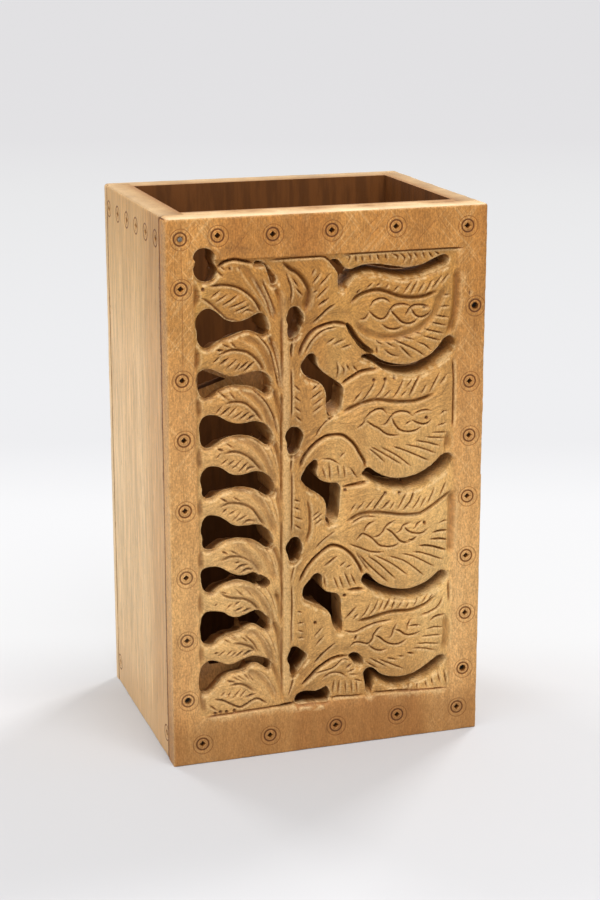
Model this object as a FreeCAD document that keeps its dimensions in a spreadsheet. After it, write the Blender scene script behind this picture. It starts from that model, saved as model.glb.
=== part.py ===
import FreeCAD, Part
import os
import Sketcher
from FreeCAD import Placement, Rotation, Vector

# Open-topped wooden pen stand: four upright boards pinned at the corners, round a glued base board.
# The front board is pierced in the manner of a jali screen: a stem with leaves on both sides.
# Frame: +Z up, the carved front faces -Y, origin under the middle of the stand.
# Each upright board is drawn in its own frame, seen from outside: x to the right from its
# left edge, y inwards from its outer face, z up from the table.

doc = FreeCAD.newDocument("PenStand")
sheet = doc.addObject("Spreadsheet::Sheet", "Sizes")

sizes = [
    ("width", 75, "outside, left to right"),
    ("depth", 59, "outside, front to back"),
    ("height", 127, "table to rim"),
    ("frontWall", 8.5, "front board"),
    ("backWall", 7.5, "back board"),
    ("sideWall", 5.6, "left and right boards"),
    ("baseWall", 8, "base board"),
    ("frontLip", 5.2, "front board where it laps the ends of the side boards"),
    ("backLip", 2.6, "back board where it laps the ends of the side boards"),
    ("edgeRound", 0.6, "worn outer edges"),
    ("borderLeft", 7.5, "plain border round the carved field"),
    ("borderRight", 7.2, ""),
    ("borderTop", 9.7, ""),
    ("borderBottom", 11.7, ""),
    ("fieldSink", 0.8, "carved field below the border"),
    ("recessSink", 5, "gaps that are cut deep but not through"),
    ("prickWidth", 1.2, "square awl prick in the middle of each ring mark, corner to corner"),
    ("prickSink", 1.2, "its depth"),
    ("sideMarkDrop", 5.5, "row of marks on the sides, below the rim"),
    ("sideMarkEnd", 2.1, "first of that row, from the back end of the side board"),
    ("sideMarkFront", 4.1, "last of that row, from the front end of the side board"),
    ("lowMarkRise", 5.7, "marks near the foot of the sides, above the table"),
    ("pinSize", 1, "panel pins"),
    ("pinLength", 16, ""),
    ("pinPlay", 0.1, "holes wider than their pins"),
    ("pinSink", 1, "pins punched below the face"),
    ("flushPinSink", 0.1, "the one pin whose head shows, top left in front"),
    ("pinClear", 0.3, "holes deeper than their pins"),
]
for row, (alias, number, note) in enumerate(sizes, start=1):
    sheet.set(f"A{row}", alias)
    sheet.set(f"B{row}", str(number))
    sheet.set(f"C{row}", note)
    sheet.setAlias(f"B{row}", alias)
doc.recompute()

sideMarkCount = 6
outlineFit, flatRise = 0.1, 0.05


def size(alias):
    return float(sheet.get(alias))


# The carver's pattern was drawn for a board of these sizes; place() fits a point of it to the
# board, so that what lies over the well stays over the well, and what lies over the end of a
# side board or over the base stays there.
patternWidth, patternHeight, patternSide, patternBase = 75, 127, 5.6, 8


def place(x, z):
    side, base = size("sideWall"), size("baseWall")
    well = size("width") - 2 * side
    patternWell = patternWidth - 2 * patternSide
    if x < patternSide:
        across = x * side / patternSide
    elif x > patternWidth - patternSide:
        across = size("width") - (patternWidth - x) * side / patternSide
    else:
        across = side + (x - patternSide) * well / patternWell
    if z < patternBase:
        up = z * base / patternBase
    else:
        up = base + (z - patternBase) * (size("height") - base) / (patternHeight - patternBase)
    return Vector(across, up, 0)


# ---- the pattern: gaps between the leaves, anticlockwise or clockwise, as the carver drew them

leftGaps = [
    [(6.2, 118.3), (7, 119.8), (8.7, 120.2), (10.4, 119.7), (11.2, 118.3), (11.1, 117.2), (11.8, 115.8),
     (11.5, 114.1), (9.6, 113), (7.6, 113.3), (6.4, 114.9), (6.3, 116.3), (6.7, 117.2)],
    [(6.8, 102.5), (7.5, 105.7), (9.4, 106.8), (11.6, 105.9), (14, 103.9), (16.8, 103.7), (19.4, 104.3),
     (21.6, 105.1), (23.3, 103.3), (23.3, 100.5), (21.8, 100.3), (19, 101.4), (15.6, 100.7), (11.8, 99.4),
     (8.7, 98.1), (7.2, 99.6)],
    [(7.3, 79), (7.4, 81), (8.3, 82.5), (10.4, 82.8), (12.3, 82.2), (14.6, 80.8), (17.8, 80.3), (21.4, 80.3),
     (23.4, 78.8), (24.5, 76.2), (24, 75), (22.4, 75.1), (20.4, 76.6), (18.2, 77.5), (14, 77.5), (11.6, 76.4),
     (9.3, 75.2), (7.9, 75.9)],
    [(7.5, 66.8), (7.6, 69.2), (8.6, 70.6), (10.4, 71), (12.3, 70.4), (14.6, 68.8), (18, 68.6), (21.6, 68.7),
     (23.4, 67.5), (24.7, 64.4), (24, 63.2), (22.4, 63.3), (20.4, 64.6), (18.2, 65.4), (14.2, 65.5),
     (11.6, 64.8), (9.4, 63.6), (7.9, 64.3)],
    [(7.5, 55), (7.6, 58), (8.6, 59.5), (10.4, 59.5), (12.6, 58.6), (14.8, 56.9), (18, 56.4), (21.4, 56.1),
     (22.9, 55), (24.3, 51.8), (23.6, 50.7), (21.6, 51.5), (19.4, 53), (16.5, 53.6), (13.2, 53.4),
     (11.2, 52.3), (9.3, 51.4), (7.8, 52.3)],
    [(7.1, 45), (7.7, 47), (9.4, 47.4), (11.8, 47.1), (15.2, 44.9), (18.5, 44.7), (20.8, 44.4), (20.9, 42.6),
     (18, 43.1), (13.6, 43.4), (11.2, 42.4), (9.2, 41.2), (7.5, 42.6)],
    [(6.8, 32.5), (7.2, 35), (8.4, 36.7), (10.6, 36.6), (12.6, 36.1), (14.2, 35), (16.2, 34.8), (18.6, 35.4),
     (20.8, 35.8), (22.3, 34.6), (23.7, 31.7), (22.8, 31), (20.8, 31.9), (19, 32.7), (16.4, 31.4),
     (13.4, 31), (11.2, 29.7), (8.6, 28.7), (7.2, 29.8)],
]
forkGaps = [
    [(27.6, 102.5), (27.9, 105), (29.3, 106.1), (31, 105.1), (31.7, 103.4), (31, 101.2), (29.9, 99.3),
     (28.6, 98.8), (27.7, 100)],
    [(27.3, 75.5), (27.5, 77.7), (29, 78.7), (30.8, 77.9), (31.6, 76), (30.9, 74), (30, 72.2), (28.8, 71.9),
     (27.6, 73.3)],
    [(27.4, 49), (27.8, 51.4), (29.4, 52.5), (30.9, 51.4), (31.4, 49.7), (30.7, 47.7), (29.4, 46.4),
     (28.3, 46.7)],
    [(27.8, 22), (28, 24.6), (29.4, 25.9), (30.8, 25), (32.5, 23.4), (31.6, 21.6), (30.3, 19.9),
     (29, 18.7), (28.1, 20)],
]
budGaps = [
    [(31, 91.9), (31.7, 93.9), (33.6, 95.2), (34.5, 94.4), (34.9, 92.4), (36.6, 90.4), (39, 88.5),
     (40.8, 87.2), (41, 85), (40.6, 82.4), (39.4, 80.6), (37.8, 80.2), (37, 81.6), (37, 84.6), (36.4, 87),
     (34.6, 88.8), (32.4, 89.8)],
    [(31.1, 66.9), (31.8, 68.2), (33.3, 69.9), (34.5, 70.4), (35, 69.4), (34.7, 67), (36.2, 65.2),
     (38.4, 64.6), (40.1, 64.1), (40.4, 61.5), (40.2, 57.5), (39.6, 55.4), (37.6, 54.9), (36.9, 56.4),
     (37, 59.2), (36, 61.6), (34.2, 62.9), (32.2, 64.3)],
    [(31.3, 38.6), (31.9, 40.6), (33.4, 42.2), (34.9, 43.3), (36.1, 42.4), (36.1, 40.2), (37.2, 38.5),
     (39.2, 38), (40.5, 36.8), (40.8, 33.5), (41.2, 30), (40.7, 27.9), (39.4, 28.9), (38.5, 31.2),
     (37.8, 33.4), (36.2, 34.9), (34, 35.9), (32.2, 36.9)],
    [(29.4, 12.6), (30.2, 14.1), (32.8, 14.4), (35.6, 14.3), (37.2, 15), (38, 13.8), (38, 11.9), (35, 11.6),
     (31.4, 11.6), (29.8, 11.8)],
]
crescentGaps = [
    [(38, 116.1), (39.6, 116), (41.4, 114), (44.4, 114.3), (48.2, 114.6), (52.2, 114), (56.4, 113.4),
     (60.6, 114.2), (64, 115.7), (65.8, 115.5), (66.1, 114.1), (63.6, 112.6), (60.4, 111.3), (56.4, 110.8),
     (52, 111.3), (47.6, 112.5), (44.6, 112.2), (42.6, 110.9), (41, 109), (40.4, 108.9), (39.6, 111.8),
     (38.9, 113.9)],
    [(45.6, 94), (48.2, 93.9), (50.6, 92.3), (54, 91.4), (57.6, 91.3), (60.8, 92.5), (63.4, 94.2),
     (65.2, 96.4), (66.8, 97.1), (67.9, 95.8), (67.2, 93.3), (64.4, 91), (61, 88.7), (57.2, 88.2),
     (53.6, 88.9), (50.2, 90.3), (47.8, 92)],
    [(45.9, 66.5), (46.8, 67.4), (48.6, 66.6), (51.4, 65), (55, 64.3), (58.6, 64.7), (61.8, 66.1),
     (64.2, 68), (65.8, 69.2), (67.8, 68.8), (67.6, 67), (65.2, 64.3), (61.8, 62.1), (57.8, 61.2),
     (53.6, 61.5), (49.8, 62.9), (46.8, 64.8)],
    [(46, 41.2), (46.7, 41.9), (48.8, 40.2), (51.6, 38.3), (55.2, 37.2), (58.8, 37.2), (62, 38.4),
     (64.4, 40), (65.7, 40.8), (67.3, 39.8), (66.6, 38), (64.2, 36), (60.8, 34.6), (56.8, 34.5),
     (52.4, 35.6), (49, 36.9), (47.2, 38.2)],
    [(46.5, 16.4), (46.9, 17.9), (48.2, 18.4), (49.8, 17.2), (52.2, 15.8), (55.4, 15.2), (59, 15.7),
     (62, 17.2), (64.2, 18.8), (65.6, 19.5), (67.2, 18.9), (66.4, 16.9), (63.8, 15), (60.2, 13.6),
     (56.4, 12.9), (52.6, 13.4), (49.6, 14.8), (48.7, 13.6), (48.3, 11.8), (47.4, 12), (46.9, 14)],
    [(42.8, 22), (43.6, 22.6), (44.9, 22.4), (46.2, 20.8), (46.4, 19.4), (45.4, 18.8), (44.2, 19.6),
     (43.4, 20.9)],
]
# gaps that stop in the wood, and the corners of the small holes that break through two of them
blindGaps = [
    [(6.6, 90.7), (7.5, 92.8), (9.3, 93.4), (11.3, 92.7), (13.6, 91.4), (17, 91.5), (20.2, 92), (22.6, 91.6),
     (23.8, 90.2), (24, 88), (23, 86.8), (20.8, 88), (17.8, 88.9), (13.9, 89.2), (11.2, 87.9), (8.7, 86.8),
     (7.2, 88.2)],
    [(6.1, 20), (6.4, 22), (7.6, 24.1), (9.2, 24.8), (11.2, 24.3), (13.4, 23.3), (16.5, 24.1), (19.6, 24.7),
     (22, 24.1), (23.8, 22.3), (23.2, 21.3), (21.6, 22.1), (19.6, 23.1), (17.2, 21.9), (14.2, 21.5),
     (12.2, 20.6), (10.3, 18.6), (8.6, 17.3), (6.8, 17.6)],
    [(20.3, 44.2), (22, 43.9), (23.4, 42.3), (22.6, 41.4), (20.6, 42)],
    [(20.3, 116.5), (22.2, 116.6), (23.4, 115.3), (24.3, 113.8), (25.3, 111.8), (24.8, 111.2), (23.8, 112.6),
     (23.1, 114.6), (22.2, 115.9)],
]
brokenHoles = [
    [(8.1, 92.7), (14.6, 90.1), (8.1, 88.3)],
    [(8.8, 24.5), (12.8, 23.4), (12, 22.4), (10, 22.4)],
]

# ring marks on the front board; the pins stand in four of them
pinnedMarks = [(3.3, 122.5), (3.5, 16), (72.3, 103.8), (71.3, 15.7)]
openMarks = [
    (11.7, 122.9), (24.2, 122.6), (37.8, 122.8), (52.9, 122.9), (70.1, 122.2),
    (3.3, 111.6), (3.3, 91.3), (3.5, 77.7), (3.5, 61.4), (3.5, 45.7), (3.5, 30.6),
    (71.4, 86.2), (71.6, 73.3), (71.5, 58.6), (71.5, 44), (71.6, 29.7),
    (6.8, 4.9), (23.1, 4.9), (39.3, 5.2), (54.7, 5.9), (70, 5.9),
]
backPins = [(3.3, 122.5), (3.5, 16), (71.5, 122.5), (71.5, 16)]


pinHole = "pinSize + pinPlay"


def pinsInto(pins, hand):
    """The pins near the left or the right edge of a front or back board."""
    return [p for p in pins if (p[0] < patternWidth / 2) == (hand == "left")]


# ---- how a board is made
# Lengths are written as sums of sheet names, such as "width - sideWall".

def total(terms):
    sign, result = 1, 0
    for word in terms.split():
        if word in "+-":
            sign = 1 if word == "+" else -1
        else:
            result += sign * size(word)
    return result


def bound(terms):
    return " ".join(word if word in "+-" else "Sizes." + word for word in terms.split())


def newBody(label):
    body = doc.addObject("PartDesign::Body", label)
    body.Label = label
    return body


def sketchOn(body, name, role, offset=None):
    """A sketch on one of the body's own planes, moved along the plane's normal by offset."""
    plane = next(f for f in body.Origin.OriginFeatures if f.Role == role)
    sketch = body.newObject("Sketcher::SketchObject", body.Name + "_" + name)
    sketch.AttachmentSupport = (plane, [""])
    sketch.MapMode = "FlatFace"
    if offset:
        sketch.setExpression("AttachmentOffset.Base.z", offset)
    return sketch


def addPolygon(sketch, corners):
    """A closed outline; each corner is two lengths, or "0" for a corner on the axis."""
    at = [Vector(*(0 if terms == "0" else total(terms) for terms in corner), 0) for corner in corners]
    for i, here in enumerate(at):
        sketch.addGeometry(Part.LineSegment(here, at[(i + 1) % len(at)]))
    for i, corner in enumerate(corners):
        sketch.addConstraint(Sketcher.Constraint("Coincident", (i - 1) % len(at), 2, i, 1))
        for kind, axis, terms in zip(("DistanceX", "DistanceY"), (-2, -1), corner):
            if terms == "0":
                sketch.addConstraint(Sketcher.Constraint("PointOnObject", i, 1, axis))
            else:
                index = sketch.addConstraint(Sketcher.Constraint(kind, -1, 1, i, 1, total(terms)))
                sketch.setExpression(f"Constraints[{index}]", bound(terms))


def addOutline(sketch, points):
    """One closed outline of the pattern: arcs that run on smoothly, straight where one hardly bends."""
    curve = Part.BSplineCurve()
    curve.interpolate(Points=[place(*p) for p in points], PeriodicFlag=True)
    for arc in curve.toBiArcs(outlineFit):
        rise = arc.length() ** 2 / (8 * arc.Radius)
        straight = Part.LineSegment(arc.StartPoint, arc.EndPoint)
        sketch.addGeometry(arc if rise > flatRise else straight)


def addFacets(sketch, points):
    """A closed outline of the pattern with straight sides."""
    at = [place(*p) for p in points]
    for i, here in enumerate(at):
        sketch.addGeometry(Part.LineSegment(here, at[(i + 1) % len(at)]))


def addHoles(sketch, centres, diameter):
    """Round holes of one size."""
    for i, centre in enumerate(centres):
        sketch.addGeometry(Part.Circle(centre, Vector(0, 0, 1), total(diameter) / 2))
        if i == 0:
            index = sketch.addConstraint(Sketcher.Constraint("Diameter", 0, total(diameter)))
            sketch.setExpression(f"Constraints[{index}]", bound(diameter))
        else:
            sketch.addConstraint(Sketcher.Constraint("Equal", 0, i))


def addPricks(sketch, centres):
    """Square pricks, each standing on a corner."""
    reach = size("prickWidth") / 2
    around = [Vector(reach, 0, 0), Vector(0, reach, 0), Vector(-reach, 0, 0), Vector(0, -reach, 0)]
    for centre in centres:
        for i, corner in enumerate(around):
            sketch.addGeometry(Part.LineSegment(centre + corner, centre + around[(i + 1) % 4]))


def pad(body, sketch, length):
    feature = body.newObject("PartDesign::Pad", "Pad_" + sketch.Name)
    feature.Profile = sketch
    feature.setExpression("Length", bound(length))
    doc.recompute()


def pocket(body, sketch, length=None, reverse=False):
    """A cut of the given depth, or right through."""
    before = body.Shape.Volume
    feature = body.newObject("PartDesign::Pocket", "Pocket_" + sketch.Name)
    feature.Profile = sketch
    feature.Reversed = reverse
    if length:
        feature.setExpression("Length", bound(length))
    else:
        feature.Type = "ThroughAll"
    doc.recompute()
    if not body.Shape.Volume < before:
        raise RuntimeError(f"{sketch.Name} cuts nothing")
    return feature


def wearEdges(body, isWorn):
    """Small rounds on the edges whose middle is worn."""
    blank = body.Tip
    names = [f"Edge{i}" for i, e in enumerate(blank.Shape.Edges, start=1) if isWorn(e.CenterOfMass)]
    fillet = body.newObject("PartDesign::Fillet", body.Name + "_worn")
    fillet.Base = (blank, names)
    fillet.setExpression("Radius", bound("edgeRound"))
    doc.recompute()


def near(a, b):
    return abs(a - b) < 1e-3


def lappedBoard(label, wall, lip):
    """A front or back board: full thickness over the well, a thinner lip over the side boards."""
    body = newBody(label)
    plan = sketchOn(body, "plan", "XY_Plane")
    addPolygon(plan, [
        ("0", "0"), ("width", "0"), ("width", lip), ("width - sideWall", lip),
        ("width - sideWall", wall), ("sideWall", wall), ("sideWall", lip), ("0", lip)])
    pad(body, plan, "height")

    def onCorner(c):
        upright = near(c.x, 0) or near(c.x, size("width"))
        return near(c.y, 0) and (upright or near(c.z, size("height")))

    wearEdges(body, onCorner)
    return body


def drillPinHoles(body, pins):
    holes = sketchOn(body, "pinHoles", "XZ_Plane")
    addHoles(holes, [place(*p) for p in pins], pinHole)
    pocket(body, holes)


def setBoard(body, across, back, turn):
    body.Placement = Placement(Vector(0, 0, 0), Rotation(Vector(0, 0, 1), turn))
    body.setExpression("Placement.Base.x", across)
    body.setExpression("Placement.Base.y", back)


# ---- front board

front = lappedBoard("front_panel", "frontWall", "frontLip")

field = sketchOn(front, "field", "XZ_Plane")
addPolygon(field, [
    ("borderLeft", "borderBottom"), ("width - borderRight", "borderBottom"),
    ("width - borderRight", "height - borderTop"), ("borderLeft", "height - borderTop")])
pocket(front, field, "fieldSink")

drillPinHoles(front, pinnedMarks)
marks = sketchOn(front, "pricks", "XZ_Plane")
addPricks(marks, [place(*p) for p in openMarks])
pocket(front, marks, "prickSink")

for name, outlines in (("leftGaps", leftGaps), ("forkGaps", forkGaps),
                       ("budGaps", budGaps), ("crescentGaps", crescentGaps)):
    gaps = sketchOn(front, name, "XZ_Plane")
    for outline in outlines:
        addOutline(gaps, outline)
    pocket(front, gaps)

for number, outline in enumerate(blindGaps, start=1):
    recess = sketchOn(front, f"recess{number}", "XZ_Plane")
    addOutline(recess, outline)
    pocket(front, recess, "recessSink")

broken = sketchOn(front, "brokenHoles", "XZ_Plane")
for outline in brokenHoles:
    addFacets(broken, outline)
pocket(front, broken)

setBoard(front, "-Sizes.width / 2", "-Sizes.depth / 2", 0)

# ---- back board

back = lappedBoard("back_panel", "backWall", "backLip")
drillPinHoles(back, backPins)
setBoard(back, "Sizes.width / 2", "Sizes.depth / 2", 180)

# ---- side boards: the left one is drawn from its back end, the right one from its front end

sideLength = "depth - frontLip - backLip"
boreBehind = {"front": "pinSink + pinLength + pinClear - frontLip",
              "back": "pinSink + pinLength + pinClear - backLip"}


def sideBoard(label, hand, farEnd, nearEnd, firstMark):
    """farEnd and nearEnd name the boards at x = length and x = 0, with the pins they send in."""
    body = newBody(label)
    plan = sketchOn(body, "plan", "XY_Plane")
    addPolygon(plan, [("0", "0"), (sideLength, "0"), (sideLength, "sideWall"), ("0", "sideWall")])
    pad(body, plan, "height")
    wearEdges(body, lambda c: near(c.y, 0) and near(c.z, size("height")))

    mark = sketchOn(body, "firstPrick", "XZ_Plane")
    addPricks(mark, [Vector(total(firstMark), total("height - sideMarkDrop"), 0)])
    first = pocket(body, mark, "prickSink")
    row = body.newObject("PartDesign::LinearPattern", body.Name + "_prickRow")
    row.Originals = [first]
    row.Direction = (mark, ["H_Axis"])
    row.setExpression("Length", bound(sideLength + " - sideMarkEnd - sideMarkFront"))
    row.Occurrences = sideMarkCount
    body.Tip = row
    doc.recompute()

    low = sketchOn(body, "lowPricks", "XZ_Plane")
    ends = ("sideMarkEnd", sideLength + " - sideMarkEnd")
    addPricks(low, [Vector(total(end), size("lowMarkRise"), 0) for end in ends])
    pocket(body, low, "prickSink")

    for (board, pins), offset, reverse in ((farEnd, sideLength, False), (nearEnd, None, True)):
        bores = sketchOn(body, board + "Bores", "YZ_Plane", offset and bound(offset))
        facing = {"front": hand, "back": {"left": "right", "right": "left"}[hand]}[board]
        inward = [place(*p) for p in pinsInto(pins, facing)]
        centres = [Vector(min(p.x, size("width") - p.x), p.y, 0) for p in inward]
        addHoles(bores, centres, pinHole)
        pocket(body, bores, boreBehind[board], reverse)
    return body


frontEnd, backEnd = ("front", pinnedMarks), ("back", backPins)
left = sideBoard("left_panel", "left", frontEnd, backEnd, "sideMarkEnd")
setBoard(left, "-Sizes.width / 2", "Sizes.depth / 2 - Sizes.backLip", -90)
right = sideBoard("right_panel", "right", backEnd, frontEnd, "sideMarkFront")
setBoard(right, "Sizes.width / 2", "-Sizes.depth / 2 + Sizes.frontLip", 90)

# ---- base board, between the four

baseWidth, baseDepth = "width - sideWall - sideWall", "depth - frontWall - backWall"
base = newBody("base_panel")
basePlan = sketchOn(base, "plan", "XY_Plane")
addPolygon(basePlan, [("0", "0"), (baseWidth, "0"), (baseWidth, baseDepth), ("0", baseDepth)])
pad(base, basePlan, "baseWall")
setBoard(base, "-Sizes.width / 2 + Sizes.sideWall", "-Sizes.depth / 2 + Sizes.frontWall", 0)

# ---- panel pins: plain wire brads, punched in from the outer face


def pinGroup(label, board, pins, sinks):
    group = []
    for i, (pin, sink) in enumerate(zip(pins, sinks), start=1):
        wire = doc.addObject("Part::Cylinder", f"{label}_{i}")
        wire.setExpression("Radius", "Sizes.pinSize / 2")
        wire.setExpression("Height", "Sizes.pinLength")
        at = place(*pin)
        wire.Placement = board.Placement * Placement(
            Vector(at.x, size(sink), at.y), Rotation(Vector(1, 0, 0), -90))
        group.append(wire)
    node = doc.addObject("Part::Compound", label)
    node.Label = label
    node.Links = group
    return node


doc.recompute()
frontPins = pinGroup("front_pins", front, pinnedMarks, ["flushPinSink"] + ["pinSink"] * 3)
backPinGroup = pinGroup("back_pins", back, backPins, ["pinSink"] * 4)
doc.recompute()

# ---- check and write

for thing in doc.Objects:
    if "Invalid" in thing.State or "Error" in thing.State:
        raise RuntimeError(f"{thing.Label} failed: {thing.State}")

nodes = [front, back, left, right, base, frontPins, backPinGroup]
os.makedirs("parts", exist_ok=True)
for node in nodes:
    if node.Shape.isNull() or not node.Shape.isValid():
        raise RuntimeError(f"{node.Label} has no valid shape")
for node in nodes:
    node.Shape.exportStep(f"parts/{node.Label}.step")
    print(node.Label, len(node.Shape.Solids), "solid(s),", round(node.Shape.Volume), "mm3")
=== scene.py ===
import math

import bmesh
import bpy
import numpy as np
from mathutils import Euler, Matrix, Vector, noise


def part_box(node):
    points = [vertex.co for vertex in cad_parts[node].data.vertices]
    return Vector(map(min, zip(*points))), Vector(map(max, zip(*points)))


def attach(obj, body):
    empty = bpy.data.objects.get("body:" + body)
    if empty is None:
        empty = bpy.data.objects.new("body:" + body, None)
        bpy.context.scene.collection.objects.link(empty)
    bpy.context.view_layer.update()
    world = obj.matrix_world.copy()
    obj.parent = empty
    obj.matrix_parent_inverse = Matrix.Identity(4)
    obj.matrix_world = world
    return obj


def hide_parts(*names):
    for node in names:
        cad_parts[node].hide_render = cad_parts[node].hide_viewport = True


# Hand-carved pen stand: four upright boards round a base, the front one pierced like a jali screen.
# A board is modelled in its own millimetres, seen from outside: x from its left edge, y inwards
# from its outer face, z up from the table. place() then stands it where the frame has it.

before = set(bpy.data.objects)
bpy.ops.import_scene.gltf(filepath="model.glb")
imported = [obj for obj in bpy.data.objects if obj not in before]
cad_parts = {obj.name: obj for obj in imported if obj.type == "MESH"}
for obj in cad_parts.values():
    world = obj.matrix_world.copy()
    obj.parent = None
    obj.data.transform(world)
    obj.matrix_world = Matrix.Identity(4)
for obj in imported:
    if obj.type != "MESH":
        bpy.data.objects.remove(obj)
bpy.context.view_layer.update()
mm = 0.001


# sRGB hex to linear
def colour(hexCode):
    parts = [int(hexCode[i:i + 2], 16) / 255 for i in (0, 2, 4)]
    return [c / 12.92 if c <= 0.04045 else ((c + 0.055) / 1.055) ** 2.4 for c in parts] + [1]


def addNode(tree, kind, inputs=None, **settings):
    made = tree.nodes.new("ShaderNode" + kind)
    for key, value in settings.items():
        setattr(made, key, value)
    for socket, value in (inputs or {}).items():
        if isinstance(value, bpy.types.NodeSocket):
            tree.links.new(value, made.inputs[socket])
        else:
            made.inputs[socket].default_value = value
    return made


# ---- the carver's strokes on the front board: kind, then points x,z in mm

strokeKinds = {
    # kind: (half width, depth, how round the bottom is, darkness, slope beside it: reach, depth, side)
    "rib": (0.45, 0.65, 1.2, 0.4, (1.9, 0.45, -1)),
    "cut": (0.28, 0.55, 1.0, 0.5, None),
    "bold": (0.35, 0.7, 1.0, 0.72, None),
    "fan": (0.3, 0.5, 1.0, 0.42, None),
    "flow": (1.0, 0.65, 1.6, 0.22, None),
    "crease": (0.4, 0.5, 1.0, 0.45, None),
    "wedge": (0.85, 0.6, 1.5, 0.42, None),
    "hair": (0.2, 0.2, 1.0, 0.34, None),
    "stem": (0.8, 1.0, 1.2, 0.4, None),
    "line": (0.32, 0.5, 1.0, 0.5, None),
    "boldLine": (0.45, 0.8, 1.2, 0.8, None),
    "contour": (0.48, 0.95, 1.2, 0.62, (2.0, 0.55, 1)),
    "scroll": (0.32, 0.6, 1.0, 0.55, None),
    "midrib": (0.6, 0.85, 1.3, 0.42, (1.9, 0.45, -1)),
    "valley": (1.0, 0.9, 1.8, 0.3, None),
    "thin": (0.28, 0.4, 1.0, 0.62, None),
    "slit": (0.62, 3.4, 5.0, 0.9, None),
    "score": (0.2, 0.14, 1.0, 0.3, None),
    "scratch": (0.16, 0.1, 1.0, 0.3, None),
    "ridge": (0.7, -0.25, 1.8, 0.0, None),
    "rod": (1.15, -0.5, 2.4, 0.0, None),
}

edgeStrokes = """
contour 12,115.9 13.5,117 15.5,117.4 17.5,117 19.8,116.4
line 24,116.9 30,117 35.5,117 37.2,116.2 38.3,115
thin 41,117.2 55,117.3 69,117.2
cut 41,117.2 42.2,116.6 41.9,115.4
cut 43.6,116.8 43.9,115.2
cut 45.1,116.6 45.4,115.2
cut 46.9,117 47.2,115.4
cut 48.6,116.9 49.3,115.3
cut 50.5,117 51,115.4
cut 51.8,117 53.5,116 53.5,115
cut 54,116.9 55.2,115.6 55,114.4
cut 55.8,116.8 56.8,115.6 56.6,114.4
cut 57.4,116.8 58.4,115.4
cut 59.4,116.9 60.1,115.2
cut 60.9,116.7 62.1,115.3
cut 62.6,116.6 63.8,115.8
line 8,11.3 25,11.8 29.2,11.9
boldLine 25,11.8 29.2,11.9
line 38,12 41,12.2 46,11.8
line 49,12 54,11.8 60,11.4 67,11.2
cut 58,12.9 57.7,11.9
cut 60,13 60,11.8
cut 62,13.2 62.4,11.8
cut 63.5,14 64,12
cut 65.2,15 65.8,12.4
cut 66.8,15.5 67.3,12
dot 10,12
dot 11.2,12.2
dot 12.7,12.1
dot 14.6,12.1
valley 67.9,112 67.6,104 66.8,99.5 66.3,97.8
line 67.3,91.5 67.5,88 67.6,84 67.6,80 67.5,75.5
valley 66.5,74 66.4,70
valley 67.8,59.8 67.7,56 67.5,50 67.6,45
line 67.4,38 67.5,33
valley 66.8,29 67,25 66.6,21
nick 70.9,107.3 70.9,106.3
score 3.55,126.6 3.5,118 3.6,108 3.5,98 3.6,90
score 72.2,101.5 72.3,97
scratch 5.3,123.5 8.5,126.3
scratch 5.2,124.3 7.5,126.3
scratch 42,120 46,123.2 50,126.6
scratch 46,120.5 49.5,123.5
scratch 15,119 19,124
scratch 30.5,119.3 34,122.2
scratch 58,119.5 63,124.5
scratch 62,126 66,120.5
scratch 27,125.5 31,121.5
wedge 6.6,112 6.9,110 6.5,107.5
wedge 6.7,98 6.9,96 6.5,93.4
wedge 6.9,87 7.1,85 7.2,82.5
wedge 7.2,75.2 7,73 7.3,70.5
wedge 7.2,63.5 7,61.5 7.3,59.5
wedge 7.2,51.6 7,49.5 7.2,47.2
wedge 7,41.5 6.8,39 7,36.5
wedge 6.8,28.5 6.9,26.5 7.1,24.5
wedge 6.7,17.4 7,15 7.6,12.6
"""

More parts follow.
